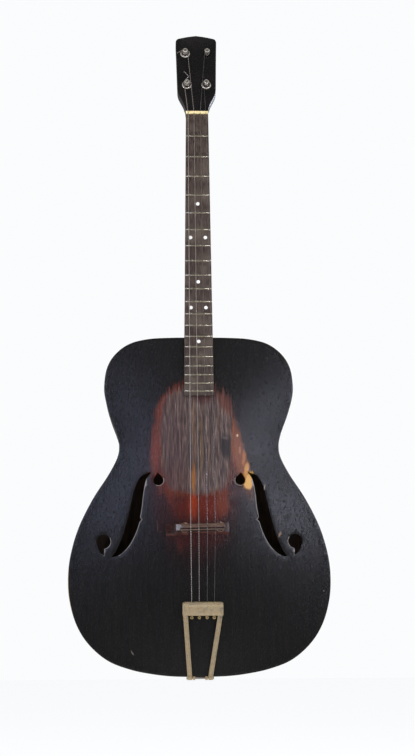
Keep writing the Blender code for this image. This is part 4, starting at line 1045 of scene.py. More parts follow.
@dataclass(frozen=True)
class Studio:
    """A pale room, dimmer in front, with soft light from both sides and a pale floor.

    Gloss sees the room's brightness in two ramps, of which the brighter one counts: sideways from
    the middle (how far aside it starts and ends, then both strengths), and heights from straight
    down at -1 to straight up at 1.
    """

    white: str = "#fbfcfd"
    floor_level: float = -0.42
    floor_reach: float = 30.0
    floor_glow: float = 0.66
    ambient: float = 0.38
    sideways: tuple[float, float, float, float] = (0.25, 0.95, 0.13, 0.55)
    heights: tuple[tuple[float, float], ...] = (
        (-1.0, 1.0), (-0.55, 0.65), (-0.12, 0.09), (0.08, 0.10), (0.32, 0.28), (0.55, 0.18),
        (0.72, 0.04), (0.86, 0.10), (1.0, 0.45))
    lights: tuple[SoftLight, ...] = (
        SoftLight("left_window", (-1.75, -2.3, 1.1), (0.0, 0.0, 0.35), (0.8, 2.0), 24.0, "#e8ecff"),
        SoftLight("right_window", (1.75, -2.0, 1.2), (0.0, 0.0, 0.35), (0.9, 2.0), 32.0, "#f4f4ff"),
        SoftLight("overhead", (0.0, -0.9, 2.9), (0.0, 0.0, 0.4), (2.2, 1.2), 30.0, "#fffaf2"),
        SoftLight("left_card", (-1.0, -2.2, 0.75), (0.0, 0.0, 0.35), (0.24, 0.7), 3.7, "#c8d2ff",
                  True),
        SoftLight("right_card", (1.05, -2.2, 0.66), (0.0, 0.0, 0.35), (0.2, 0.44), 5.6, "#dde1f8",
                  True),
        SoftLight("left_pane", (-2.6, -1.75, 0.37), (0.0, 0.0, 0.25), (0.30, 0.36), 4.8, "#e6ecff",
                  True),
        SoftLight("right_pane", (2.6, -1.75, 0.45), (0.0, 0.0, 0.25), (0.3, 0.36), 1.5, "#e6ecff",
                  True),
        SoftLight("rear_window", (-1.6, 2.2, 1.3), (0.0, 0.0, 0.4), (0.8, 2.0), 26.0, "#eef2ff"),
        SoftLight("rear_card", (1.3, 2.3, 0.9), (0.0, 0.0, 0.35), (0.35, 1.4), 7.0, "#e6ecff",
                  True),
    )

    def sky(self) -> None:
        """White where the camera looks; for gloss, dim in front and brighter all round."""
        world = bpy.data.worlds.new("pale room")
        bpy.context.scene.world = world
        world.use_nodes = True
        nodes = Nodes(world.node_tree)
        way = nodes.add("TexCoord", {}, "Generated")
        across, up = (nodes.add("SeparateXYZ", {0: way}, axis) for axis in ("X", "Z"))
        start, end, *strengths = self.sideways
        sides = nodes.ranged(nodes.math("ABSOLUTE", across), start, end, strengths)
        heights = nodes.ramp(nodes.ranged(up, -1.0, 1.0), *(
            ((height + 1) / 2, (strength, strength, strength, 1.0))
            for height, strength in self.heights))
        gloss = nodes.add("Mix", {0: nodes.add("LightPath", {}, "Is Glossy Ray"), 2: self.ambient,
                                  3: nodes.math("MAXIMUM", sides, heights)})
        view = nodes.add("Mix", {0: nodes.add("LightPath", {}, "Is Camera Ray"), 2: gloss, 3: 1.0})
        background = world.node_tree.nodes["Background"]
        nodes.give(background.inputs["Color"], self.white)
        nodes.give(background.inputs["Strength"], view)

    def build(self) -> None:
        """Make the room's light, the lamps and the floor, which is lit up to the backdrop."""
        self.sky()
        for light in self.lights:
            light.build()
        rest()
        bpy.ops.mesh.primitive_plane_add(size=self.floor_reach, location=(0, 0, self.floor_level))
        floor = named("studio_floor")
        shading = Shading("pale studio floor")
        floor.data.materials.append(shading.surface(
            Base_Color=shading.mix(shading.noise(60.0, 3.0), "#e8e9ea", "#eeeff0"), Roughness=0.8,
            Emission_Color=self.white, Emission_Strength=self.floor_glow))
        floor.visible_glossy = False
        bpy.context.scene.view_settings.view_transform = "Standard"


# The instrument

def half_outline(steps: int = 8) -> np.ndarray:
    """The treble half of the body's outline from the tail to the neck, in mm."""
    corners = [(0, 0), (34, 0.6), (62, 3.6), (92, 9.8), (122, 21.5), (147, 42.5), (163.5, 68),
               (173, 99), (175.5, 129), (172.5, 160), (162, 197), (143.5, 235), (123, 267),
               (111, 290), (108, 306), (111, 323), (120.5, 349), (127, 372), (128.6, 390),
               (125, 414), (114, 433), (95, 447.5), (70, 454.3), (40, 456.3), (0, 456.6)]
    mirrored = [(-34, 0.6), *corners, (-40, 456.3)]
    return spline(mirrored, steps)[steps:-steps]


HALF_OUTLINE = half_outline()
OUTLINE = np.vstack([HALF_OUTLINE, HALF_OUTLINE[-2:0:-1] * (-1, 1)])


def half_width(level: np.ndarray) -> np.ndarray:
    """Half of the body's width at heights above the tail, in mm."""
    return np.interp(level, HALF_OUTLINE[:, 1], HALF_OUTLINE[:, 0])


def arch(across: np.ndarray, level: np.ndarray) -> np.ndarray:
    """How far a plate stands above its edge, in mm, from its crest at the bridge."""
    crest, height = 200.0, 13.0
    reach = np.where(level > crest, BODY_LENGTH - crest, crest)
    along = np.clip(np.abs(level - crest) / reach, 0.0, 1.0)
    aside = np.clip(np.abs(across) / np.maximum(half_width(level), 1e-6), 0.0, 1.0)
    return height * (1.0 - along ** 2.4) ** 1.1 * (1.0 - aside ** 2) ** 1.5


def inside(points: np.ndarray, loop: np.ndarray) -> np.ndarray:
    """Which points lie inside a closed loop."""
    result = np.zeros(len(points), dtype=bool)
    x, y = points[:, 0], points[:, 1]
    for (x1, y1), (x2, y2) in zip(loop, np.roll(loop, -1, axis=0)):
        if y1 != y2:
            result ^= ((y1 > y) != (y2 > y)) & (x < (x2 - x1) * (y - y1) / (y2 - y1) + x1)
    return result


def distance_to(points: np.ndarray, loop: np.ndarray) -> np.ndarray:
    """Least distance from each point to a loop's sides."""
    least = np.full(len(points), np.inf)
    for start, end in zip(loop, np.roll(loop, -1, axis=0)):
        side = end - start
        share = np.clip((points - start) @ side / max(side @ side, 1e-12), 0.0, 1.0)
        least = np.minimum(least, np.linalg.norm(points - start - share[:, None] * side, axis=1))
    return least


@dataclass
class SoundBox:
    """The arched top with its f-holes, the arched back and the two bent ribs."""

    shop: Workshop
    plate_thickness: float = 4.0
    rib_thickness: float = 2.3
    mesh_step: float = 4.2
    mesh_columns: int = 44
    mesh_clearance: float = 0.62
    rim_rounding: float = 0.8
    hole_rounding: float = 0.9
    rim_band: float = 0.6
    lip_band: float = 0.5
    arm_rest: Point = (-173.5, 114.0)
    arm_reach: Point = (14.0, 24.0)
    slot_outer: tuple[Point, ...] = (
        (64.8, 271.2), (78.0, 265.6), (86.5, 249.6), (91.0, 231.2), (95.3, 212.1),
        (99.8, 194.9), (104.4, 181.2), (111.5, 165.4))
    slot_lower: tuple[Point, ...] = (
        (117.4, 158.0), (107.0, 160.4), (96.5, 169.6), (89.0, 181.2), (83.4, 193.9),
        (80.4, 204.0))
    slot_nick: Point = (77.2, 207.2)
    slot_upper: tuple[Point, ...] = (
        (79.4, 210.2), (77.3, 223.6), (74.7, 246.2), (71.2, 261.6), (64.8, 271.2))
    upper_eye: tuple[Point, float, Point] = ((54.9, 259.8), 6.8, (55.8, 270.3))
    lower_eye: tuple[Point, float] = ((128.3, 178.4), 9.5)
    lower_tail: tuple[Point, ...] = (
        (127.2, 169.0), (127.4, 159.3), (132.4, 164.0), (136.2, 170.5))

    def f_hole(self, side: int) -> list[np.ndarray]:
        """The slot and the two eyes of the f-hole on one side, as closed loops."""
        slot = np.vstack([spline(self.slot_outer, 4), spline(self.slot_lower, 4),
                          [self.slot_nick], spline(self.slot_upper, 4)[:-1]])
        upper = np.vstack([[self.upper_eye[2]], arc(*self.upper_eye[:2], 148, 397, 26)])
        lower = np.vstack([self.lower_tail, arc(*self.lower_eye, -45, 252, 30)])
        return [loop * (side, 1) for loop in (slot, upper, lower)]

    def lips(self) -> list[np.ndarray]:
        """The treble f-hole's edges towards the middle and tail, painted pale: wear and a painted
        highlight.
        """
        slot = np.vstack([spline(self.slot_lower[1:], 4), [self.slot_nick],
                          spline(self.slot_upper[:-1], 4)])
        upper = np.array(arc(*self.upper_eye[:2], 160, 300, 16))
        lower = np.array(arc(*self.lower_eye, 150, 250, 12) + list(self.lower_tail[:2]))
        return [slot, upper, lower]

    def flat_sheet(self, name: str, holes: Sequence[np.ndarray]) -> Piece:
        """A flat sheet with even faces that fills the outline round its holes.

        No operator fills a sheet with even faces round holes, so this one is triangulated.

        Args:
            name: the piece's name.
            holes: the loops to leave open.

        Returns:
            The open sheet, at level 0.
        """
        loops = [OUTLINE, *holes]
        row_step = self.mesh_step * math.sqrt(3) / 2
        rows = np.arange(1, int(BODY_LENGTH / row_step) + 1)
        columns = np.arange(-self.mesh_columns, self.mesh_columns + 1)
        grid = np.array([((column + 0.5 * (row % 2)) * self.mesh_step, row * row_step)
                         for row in rows for column in columns])
        grid = grid[inside(grid, OUTLINE)]
        for loop in loops:
            grid = grid[distance_to(grid, loop) > self.mesh_clearance * self.mesh_step]
        for hole in holes:
            grid = grid[~inside(grid, hole)]
        sides, first = [], 0
        for loop in loops:
            sides += [(first + i, first + (i + 1) % len(loop)) for i in range(len(loop))]
            first += len(loop)
        corners = [Vector(corner) for row in (*loops, grid) for corner in row]
        result = delaunay_2d_cdt(corners, sides, [], 1, 1e-6)
        places = np.array([tuple(corner) for corner in result[0]])
        faces = np.array(result[2])
        centres = places[faces].mean(axis=1)
        kept = inside(centres, OUTLINE)
        for hole in holes:
            kept &= ~inside(centres, hole)
        mesh = bpy.data.meshes.new(name)
        mesh.from_pydata(np.column_stack([places, np.zeros(len(places))]).tolist(), [],
                         faces[kept].tolist())
        piece = bpy.data.objects.new(name, mesh)
        bpy.context.scene.collection.objects.link(piece)
        with editing(piece):
            bpy.ops.mesh.delete_loose()
        return piece

    def plate(self, name: str, holes: Sequence[np.ndarray], rounding: float) -> Piece:
        """An arched plate with rounded edges; its face is up and its edge at level 0."""
        piece = self.flat_sheet(name, holes)
        with editing(piece):
            bpy.ops.mesh.extrude_region_move(
                TRANSFORM_OT_translate={"value": (0, 0, -self.plate_thickness)})
            face_outwards()
        bevelled(piece, rounding, 3, 60)
        flat = coordinates(piece)
        put_vertices(piece, flat + np.outer(arch(flat[:, 0], flat[:, 1]), (0, 0, 1)))
        return piece

    def mark_edges(self, piece: Piece, lips: Sequence[np.ndarray]) -> None:
        """Store how worn each vertex is, and how pale its f-hole lip is painted, from 0 to 1.

        Args:
            piece: the plate, still in its own frame; its rim is worn most where the playing
                arm rests.
            lips: paths along the f-holes' edges that are painted pale, partly wear and partly a
                painted highlight.
        """
        places = coordinates(piece)[:, :2]
        rested = np.linalg.norm((places - self.arm_rest) / self.arm_reach, axis=1)
        amount = 0.35 + 0.65 * np.clip(1.6 - rested, 0.0, 1.0)
        rim = np.clip(1.6 - distance_to(places, OUTLINE) / self.rim_band, 0.0, 1.0) * amount
        near = np.full(len(places), np.inf)
        for lip in lips:
            there_and_back = np.vstack([lip, lip[-2:0:-1]])
            near = np.minimum(near, distance_to(places, there_and_back))
        marked(piece, "edge", rim)
        marked(piece, "lip", np.clip(1.8 - near / self.lip_band, 0.0, 1.0))

    def build(self) -> None:
        """Make the two plates and the two ribs of the box."""
        lips = [lip * (side, 1) for side in (-1, 1) for lip in self.lips()]
        turned_over = BODY_FRAME @ moved(0, 0, -RIM_DEPTH) @ Matrix.Diagonal((1, 1, -1, 1))
        for name, node, finish, holes, rounding, worn, place in (
                ("archtop_plate", "top_plate", self.shop.top, self.f_hole(-1) + self.f_hole(1),
                 self.hole_rounding, lips, BODY_FRAME),
                ("arched_back", "back_plate", self.shop.lacquer, [], self.rim_rounding, [],
                 turned_over)):
            plate = self.plate(name, holes, rounding)
            self.mark_edges(plate, worn)
            lined(plate, finish, self.shop.spruce, lambda middle, normal: normal[:, 2] < -0.6)
            dressed(placed(plate, place), finish, "instrument", [node], 50)
        for name, side in (("rib_bass", -1), ("rib_treble", 1)):
            self.rib(name, side)

    def rib(self, name: str, side: int) -> None:
        """One bent side, a strip wrapped round the outline and given its thickness."""
        end = 10.9
        curve = HALF_OUTLINE[1:]
        curve = curve[(curve[:, 0] > end) | (curve[:, 1] < BODY_LENGTH / 2)]
        curve = np.vstack([[0.15, 0.0], curve, [end, BODY_LENGTH]])
        levels = np.linspace(self.plate_thickness - RIM_DEPTH - 0.05,
                             0.05 - self.plate_thickness, 9)
        sections = np.array([[(side * x, y, level) for level in levels] for x, y in curve])
        piece = loft("bent_" + name, sections if side < 0 else sections[:, ::-1], ring=False)
        close_up(modified(piece, "SOLIDIFY", thickness=self.rib_thickness, offset=-1.0))
        dressed(placed(piece, BODY_FRAME), self.shop.lacquer, "instrument", [name],
                40)


@dataclass
class Neck:
    """The neck with its heel, headstock and the wedge under the board's end, and the heel cap."""

    shop: Workshop
    depth_at_nut: float = 13.5
    depth_at_heel: float = 17.5
    heel_top: float = 46.0
    heel_foot: float = 17.0
    heel_width: float = 27.0
    cap_thickness: float = 3.0
    section_points: int = 37
    peg_hole_radius: float = 5.1
    wedge: tuple[Point, ...] = ((3, -6.02), (-50, -6.02), (-50, -7.1), (-0.5, -8.4), (3, -8.4))
    tenon: tuple[Point, ...] = ((-9.6, 2), (-13.5, -18), (13.5, -18), (9.6, 2))
    worn_from: float = 700.0
    worn_beyond: float = 27.6
    head_outline: tuple[Point, ...] = (
        (15.9, 0.4), (16.3, 5.9), (17.6, 11.0), (19.2, 16.3), (21.4, 21.5), (23.8, 26.6),
        (26.0, 32.0), (27.2, 38.0), (27.5, 44.0), (28.2, 75.0), (29.0, 107.0), (29.4, 121.5),
        (29.0, 126.0), (27.0, 129.4), (23.0, 130.9), (12.0, 133.6), (0.0, 135.5))

    def half_section(self, along: float) -> np.ndarray:
        """The treble half of the neck's section at a distance above the body.

        Args:
            along: distance in mm above the body's edge.

        Returns:
            Its half width and level in the body's frame, from its flat top down.
        """
        share = along / (fret_distance(BODY_FRET) * math.cos(NECK_PITCH))
        top = (BOARD_ABOVE_EDGE - (BOARD_THICKNESS + 0.02) / math.cos(NECK_PITCH)
               - math.tan(NECK_PITCH) * along)
        width = JOINT_WIDTH + (NUT_WIDTH - JOINT_WIDTH) * share
        shaft_depth = self.depth_at_heel + (self.depth_at_nut - self.depth_at_heel) * share
        start, end = -6.0, -RIM_DEPTH + self.cap_thickness
        if along < self.heel_foot:
            heel_share = 1.0
        else:
            left = (along - self.heel_foot) / (self.heel_top - self.heel_foot)
            heel_share = 1.0 - min(left, 1.0) ** (1 / 3)
        bottom = min(top - shaft_depth, start + (end - start) * heel_share)
        angle = np.linspace(0.0, math.pi / 2, self.section_points // 2 + 1)
        level = top - (top - bottom) * np.sin(angle)
        shaft = np.clip((top - level) / shaft_depth, 0.0, 1.0)
        shaft = width / 2 * np.sqrt(1.0 - shaft ** 2.5)
        down = np.clip((start - level) / (start - end), 0.0, 1.0)
        length = self.heel_foot + (self.heel_top - self.heel_foot) * (1.0 - down) ** 3
        heel_width = width - 0.6 + (self.heel_width - width) * down ** 0.7
        heel = heel_width / 2 * np.sqrt(np.clip(1.0 - (along / length) ** 2.5, 0.0, 1.0))
        half = np.minimum((shaft ** 6 + heel ** 6) ** (1 / 6), width / 2)
        half[-1] = 0.0
        return np.column_stack([half, level])

    def shaft(self) -> Piece:
        """Shaft and heel in one smooth sweep, from the body to under the nut."""
        joint = fret_distance(BODY_FRET) * math.cos(NECK_PITCH)
        stations = np.concatenate([np.linspace(GAP, 60.0, 44), np.linspace(66.0, joint + 9.0, 34)])
        sections = []
        for along in stations:
            side = self.half_section(along)
            right = [(half, BODY_LENGTH + along, level) for half, level in side]
            left = [(-half, BODY_LENGTH + along, level) for half, level in side[-2::-1]]
            sections.append(right + left)
        piece = loft("neck_wood", np.array(sections))

        def at_heel_curve(place: np.ndarray, normal: np.ndarray) -> np.ndarray:
            """The vertices where the heel runs into the shaft."""
            along = place[:, 1] - BODY_LENGTH
            return (along > 22) & (along < 56) & (place[:, 2] < -8)

        with editing(piece, Element.VERTEX, at_heel_curve):
            bpy.ops.mesh.vertices_smooth(factor=0.5, repeat=12)
        return piece

    def head(self) -> Piece:
        """The headstock, a board cut to its outline with softened edges and four peg holes."""
        side = np.vstack([spline(self.head_outline[:11], 3)[:-1],
                          spline(self.head_outline[10:], 4)])
        outline = np.vstack([side, side[-2::-1] * (-1, 1)])
        piece = prism("headstock", outline, -HEAD_THICKNESS, 0.0)
        bevelled(piece, 0.9, 3, 60)
        profile = [(0, 3), (self.peg_hole_radius, 3), (self.peg_hole_radius, -20), (0, -20)]
        holes = [turned("peg_hole", profile, 32, moved(*course.peg, 0)) for course in COURSES]
        return combined(piece, Joinery.CUT, *holes)

    def build(self) -> None:
        """Make the neck in one piece, and the cap of its heel."""
        neck = placed(self.shaft(), BODY_FRAME)
        joint = fret_distance(BODY_FRET)
        half = JOINT_WIDTH / 2 - 1.5
        wedge = prism("wedge", [(along - joint, level) for along, level in self.wedge],
                      -half, half, ALONG_X)
        tenon = prism("tenon", [(x, BODY_LENGTH + y) for x, y in self.tenon],
                      -RIM_DEPTH + 8, -6.0)
        head = placed(self.head(), HEAD_FRAME)
        combined(neck, Joinery.JOIN, head, placed(bevelled(wedge, 0.3), NECK_FRAME),
                 placed(tenon, BODY_FRAME))
        self.mark_wear(neck)
        dressed(neck, self.shop.lacquer, "instrument", ["neck"], 42)

        radius = self.heel_width / 2
        outline = [(radius * math.cos(angle),
                    BODY_LENGTH + GAP + self.heel_foot * math.sin(angle) ** 0.8)
                   for angle in np.linspace(0, math.pi, 33)]
        cap = prism("heel_cap_plate", outline, -RIM_DEPTH, -RIM_DEPTH + self.cap_thickness)
        bevelled(cap, 0.6, 3, 50)
        dressed(placed(cap, BODY_FRAME), self.shop.lacquer, "instrument", ["heel_cap"])

    def mark_wear(self, neck: Piece) -> None:
        """Wear the lacquer on the headstock's side edges."""
        places = coordinates(neck) * 1000
        upper = np.clip((places[:, 2] - self.worn_from) / 60, 0, 1)
        marked(neck, "edge", upper * np.clip(np.abs(places[:, 0]) - self.worn_beyond, 0, 1))


@dataclass
class Fingerboard:
    """The rosewood board with its frets and pearl dots, and the bone nut."""

    shop: Workshop
    fret_width: float = 2.4
    fret_height: float = 1.0
    fret_end_slope: float = 0.55
    dot_radius: float = 2.5
    dots: tuple[tuple[int, float], ...] = ((5, 0.0), (7, -10.3), (7, 10.3), (10, 0.0),
                                           (12, -10.3), (12, 10.3), (15, 0.0))

    def board(self) -> Piece:
        """The board: a block widened towards the body, with softened edges."""
        piece = block("rosewood_board", (-1, -BOARD_LENGTH, -BOARD_THICKNESS), (1, 0, 0))
        with editing(piece, Element.EDGE, lambda middle, along: np.abs(along[:, 1]) > 0.9):
            bpy.ops.mesh.subdivide(number_cuts=24)
        places = coordinates(piece)
        places[:, 0] *= board_width(-places[:, 1]) / 2
        put_vertices(piece, places)
        return bevelled(piece, 0.35, 2, 60)

    def frets(self) -> list[Piece]:
        """One fret with bevelled ends, and its copies widened to the board at each place."""
        half, reach = self.fret_width / 2, 10.0
        crown = [(half * math.cos(angle), self.fret_height * math.sin(angle) ** 0.8)
                 for angle in np.linspace(0, math.pi, 13)]
        first = prism("fret_01", [*crown, (-half, -0.4), (half, -0.4)], -reach, reach, ALONG_X)
        with editing(first, Element.VERTEX,
                     lambda place, normal: np.abs(place[:, 0]) > reach - 0.1):
            bpy.ops.mesh.bevel(offset=0.12, segments=1, affect="EDGES")
        made = [first] + [copied(first, f"fret_{number:02d}")
                          for number in range(2, FRET_COUNT + 1)]
        for number, piece in enumerate(made, start=1):
            distance = fret_distance(number)
            places = coordinates(piece)
            sloped = self.fret_end_slope * np.maximum(places[:, 2], 0.0)
            places[:, 0] += np.sign(places[:, 0]) * (
                board_width(distance) / 2 - 0.15 - reach - sloped)
            put_vertices(piece, places)
            placed(piece, NECK_FRAME @ moved(0, -distance, 0))
        return made

    def nut(self) -> Piece:
        """The nut: a bone block falling away towards the pegs, with a slot for each string."""
        side = [(GAP * 0.2, -6.0), (GAP * 0.2, 2.1), (1.2, 2.4), (2.6, 2.1), (4.3, 1.1),
                (4.3, -6.0)]
        half, floor = NUT_WIDTH / 2, ACTION_AT_NUT + 0.1
        nut = bevelled(prism("bone_nut", side, -half, half, ALONG_X), 0.3)
        slots = []
        for x, radius in ((course.nut_x, course.diameter / 2 + 0.12) for course in COURSES):
            slots.append(tube("slot", [(x, -2.0, floor), (x, 0.8, floor),
                                       (x, 8.0, ACTION_AT_NUT - 2.0)], radius, 14))
            slots.append(block("slot_mouth", (x - radius, -2.0, floor),
                               (x + radius, 8.0, ACTION_AT_NUT + 3)))
        return combined(nut, Joinery.CUT, *slots)

    def build(self) -> None:
        """Make the board, 20 frets, 7 dots and the nut."""
        dressed(placed(self.board(), NECK_FRAME), self.shop.rosewood, "instrument",
                ["fingerboard"], 30)
        for piece in self.frets():
            dressed(piece, self.shop.fret_wire, "instrument", ["fingerboard"])
        rest()
        bpy.ops.mesh.primitive_cylinder_add(vertices=32, radius=self.dot_radius, depth=1.2)
        first = bevelled(named("pearl_dot_1"), 0.12, 2)
        dots = [first] + [copied(first, f"pearl_dot_{number}")
                          for number in range(2, len(self.dots) + 1)]
        for piece, (fret, across) in zip(dots, self.dots):
            middle = (fret_distance(fret - 1) + fret_distance(fret)) / 2
            placed(piece, NECK_FRAME @ moved(across, -middle, -0.52))
            dressed(piece, self.shop.pearl, "instrument", ["fingerboard"])
        dressed(placed(self.nut(), NECK_FRAME), self.shop.bone, "instrument", ["nut"])


@dataclass(frozen=True)
class Course:
    """One string from its ball end to its peg: places across in mm, turns in degrees."""

    name: str
    diameter: float
    nut_x: float
    saddle_x: float
    tail_x: float
    peg: tuple[float, float]
    side: int
    turn: float
    wound: bool
    ferrule: bool = True
    cut_end: tuple[Point, ...] = ()

    @property
    def peg_frame(self) -> Matrix:
        """Frame of the string's peg, with z out of the headstock's face."""
        return HEAD_FRAME @ moved(*self.peg, 0.0)

    def winding(self, per_turn: int = 48) -> list[Vector]:
        """The string's turns round its post in the peg's frame, with its lead and cut end."""
        radius = POST_RADIUS + GAP + self.diameter / 2
        pitch = self.diameter + COIL_SPACING
        start = 180.0 if self.side < 0 else 0.0
        steps = round(self.turn * per_turn / 360)
        path = []
        for step in range(steps + 1):
            done = self.turn * step / steps
            angle = math.radians(start + self.side * done)
            path.append(Vector((radius * math.cos(angle), radius * math.sin(angle),
                                COIL_START + pitch * done / 360)))
        lead = path[0] - Vector((0.0, self.diameter, 0.0))
        if self.cut_end:
            tail = spline([tuple(path[-1]), *self.cut_end], 5)[1:]
            return [lead, *path, *(Vector(point) for point in tail)]
        return [lead, *path, path[-1] + (path[-1] - path[-2]).normalized() * self.diameter]


COURSES = (
    Course("c", 0.95, -12.6, -12.3, -11.0, (-13.8, 47.8), -1, 765, True, cut_end=(
        (-0.4, 5.4, 7.9), (2.4, 8.4, 8.2), (-0.6, 12.8, 8.5), (-4.0, 17.2, 8.7))),
    Course("g", 0.72, -4.4, -1.6, -1.1, (-15.8, 103.0), 1, 850, True, cut_end=(
        (-5.6, 0.8, 6.2), (-8.6, -1.7, 6.6), (-11.6, -4.2, 7.0))),
    Course("d", 0.42, 4.4, 9.7, 9.2, (15.8, 103.0), -1, 790, False, ferrule=False),
    Course("a", 0.35, 12.2, 20.3, 18.6, (13.8, 47.8), -1, 820, False),
)


@dataclass
class Strings:
    """The four strings: from post to nut, from nut to saddle, from saddle to ball end."""

    shop: Workshop
    playing_steps: int = 60
    ease: float = 0.0006
    post_lead: float = 0.0003
    coil_radius: float = 3.7
    cut_length: float = 8.0

    def build(self) -> None:
        """Run each string in three stretches, and wind it round its post."""
        for course in COURSES:
            self.run(course)

    def run(self, course: Course) -> None:
        """The three stretches and the turns of one string."""
        radius = course.diameter / 2
        nut = NECK_FRAME @ Vector((course.nut_x, 0.8, ACTION_AT_NUT))
        saddle = BODY_FRAME @ Vector((
            course.saddle_x, SADDLE_POINT.y + course.saddle_x * math.tan(BRIDGE_SLANT),
            SADDLE_POINT.z))
        ball = TAILPIECE_FRAME @ Vector((course.tail_x, PLATE_START - 0.45 - GAP, 0.0))
        start = course.peg_frame @ course.winding()[0]
        post = start + (nut - start).normalized() * self.post_lead
        playing = [nut + (saddle - nut) * share
                   for share in np.linspace(0.0, 1.0, self.playing_steps)]
        for part, body, path in (
                ("head", "instrument", [nut + (saddle - nut).normalized() * self.ease, nut, post]),
                ("playing", "", playing),
                ("tail", "tailpiece",
                 [saddle + (nut - saddle).normalized() * self.ease, saddle, ball])):
            length = sum((b - a).length for a, b in zip(path, path[1:])) * 1000
            piece = tube(f"string_{course.name}_{part}", [tuple(p * 1000) for p in path],
                         radius, 14)
            dressed(placed(piece, ROOM), self.wire(course, length), body,
                    ["string_" + course.name], 60)
            if part == "playing":
                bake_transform(piece)
        length = 2 * math.pi * self.coil_radius * course.turn / 360 + self.cut_length
        coil = tube("coil_" + course.name, [tuple(point) for point in course.winding()], radius)
        dressed(placed(coil, course.peg_frame), self.wire(course, length), "peg_" + course.name,
                ["winding_" + course.name], 60)

    def wire(self, course: Course, length: float) -> bpy.types.Material:
        """The finish of a stretch of a string; the ridges of a wound one need its length."""
        return WoundWire(length).material() if course.wound else self.shop.plain_wire


@dataclass
class Pegs:
    """Four friction pegs: post, front ferrule, rear collar, button and its screw."""

    shop: Workshop
    steps: int = 40
    post: tuple[Point, ...] = (
        (0, 9.6), (1.6, 9.55), (2.6, 9.3), (3.3, 8.85), (3.75, 8.4), (3.8, 8.1), (3.5, 7.8),
        (3.1, 7.5), (3.0, 7.1), (3.0, 2.4), (3.2, 1.9), (3.2, -16.2), (2.2, -16.2),
        (2.2, -24.6), (1.6, -24.6), (1.6, -18.6), (0, -18.6))
    ferrule: tuple[Point, ...] = (
        (3.5, 0.7), (5.1, 0.7), (5.25, 1.5), (5.45, 1.62), (5.7, 1.55), (6.3, 1.05), (6.8, 0.6),
        (7.0, 0.3), (6.8, 0.06), (4.7, 0.06), (4.7, -5.0), (3.5, -5.0))
    collar: tuple[Point, ...] = (
        (3.5, -9.0), (4.7, -9.0), (4.7, -14.06), (6.5, -14.06), (6.6, -14.6), (6.2, -15.3),
        (5.6, -15.9), (4.8, -16.0), (3.5, -16.0))
    stem: tuple[Point, ...] = (
        (0, -16.6), (5.2, -16.6), (5.4, -16.9), (5.0, -17.8), (4.3, -19.0), (3.9, -21.0),
        (3.8, -25.0), (0, -25.0))
    screw: tuple[Point, ...] = (
        (0, -35.0), (1.2, -34.95), (2.1, -34.6), (2.7, -34.0), (2.8, -33.6), (2.8, -33.3),
        (1.3, -33.3), (1.3, -19.0), (0, -19.0))
    disc: tuple[Point, ...] = ((0, 2.1), (3.5, 2.25), (6.2, 2.7), (8.6, 2.9), (9.9, 2.4),
                               (10.4, 1.2))
    button_height: float = 6.5
    bore: tuple[Point, ...] = ((0, 0), (2.5, 0), (2.5, -24.9), (1.6, -24.9), (1.6, -40), (0, -40))

    def cupped(self, middle: np.ndarray, normal: np.ndarray) -> np.ndarray:
        """The faces of a ferrule's cup, darkened with dirt and painted shade round the post."""
        return (np.hypot(middle[:, 0], middle[:, 1]) < 5.2) & (middle[:, 2] > 0)

    def drilled_post(self, name: str) -> Piece:
        """A post with the hole that takes the string's end."""
        hole = tube("string_hole", [(-6, 0, 6.6), (6, 0, 6.6)], 0.7, 16)
        return combined(turned(name, self.post, self.steps), Joinery.CUT, hole)

    def ferrule_with_dirt_and_shade(self, name: str) -> Piece:
        """A ferrule whose cup is darkened with dirt and painted shade."""
        # The cup is darkened: dirt, and painted shade where the post stands in it
        return lined(turned(name, self.ferrule, 56), self.shop.peg_nickel, self.shop.dirt_and_painted_shade,
                     self.cupped)

    def button(self, name: str) -> Piece:
        """An oval button: a dished disc stretched to an oval, on a turned stem."""
        paddle = turned(name, [*self.disc, *((radius, -height) for radius, height in
                                             self.disc[::-1])], 48,
                        moved(0, 0, BUTTON_LEVEL) @ QUARTER_X)
        places = coordinates(paddle)
        above = places[:, 2] - BUTTON_LEVEL
        places[:, 2] = BUTTON_LEVEL + above * self.button_height / self.disc[-1][0]
        put_vertices(paddle, places)
        combined(paddle, Joinery.JOIN, turned("stem", self.stem, self.steps))
        return combined(paddle, Joinery.CUT, turned("bore", self.bore, 24))

    def slotted_screw(self, name: str) -> Piece:
        """The screw that sets a peg's friction, with a slot in its domed head."""
        piece = turned(name, self.screw, 28)
        return combined(piece, Joinery.CUT, block("slot", (-4, -0.35, -36), (4, 0.35, -34.2)))

    def build(self) -> None:
        """Make the parts of all four pegs."""
        nickel = self.shop.peg_nickel
        parts = (("post", self.drilled_post, nickel, "tarnished_nickel", True),
                 ("ferrule", self.ferrule_with_dirt_and_shade, nickel, "tarnished_nickel", False),
                 ("collar", lambda name: turned(name, self.collar, 48), nickel,
                  "tarnished_nickel", False),
                 ("button", self.button, self.shop.celluloid, "ivory_celluloid", True),
                 ("screw", self.slotted_screw, self.shop.steel, "steel", True))
        for course in COURSES:
            for part, make, finish, slot, turns in parts:
                if part != "ferrule" or course.ferrule:
                    name = f"{part}_{course.name}"
                    dressed(placed(make(name), course.peg_frame), finish,
                            "peg_" + course.name if turns else "instrument", ["peg_" + name],
                            40)


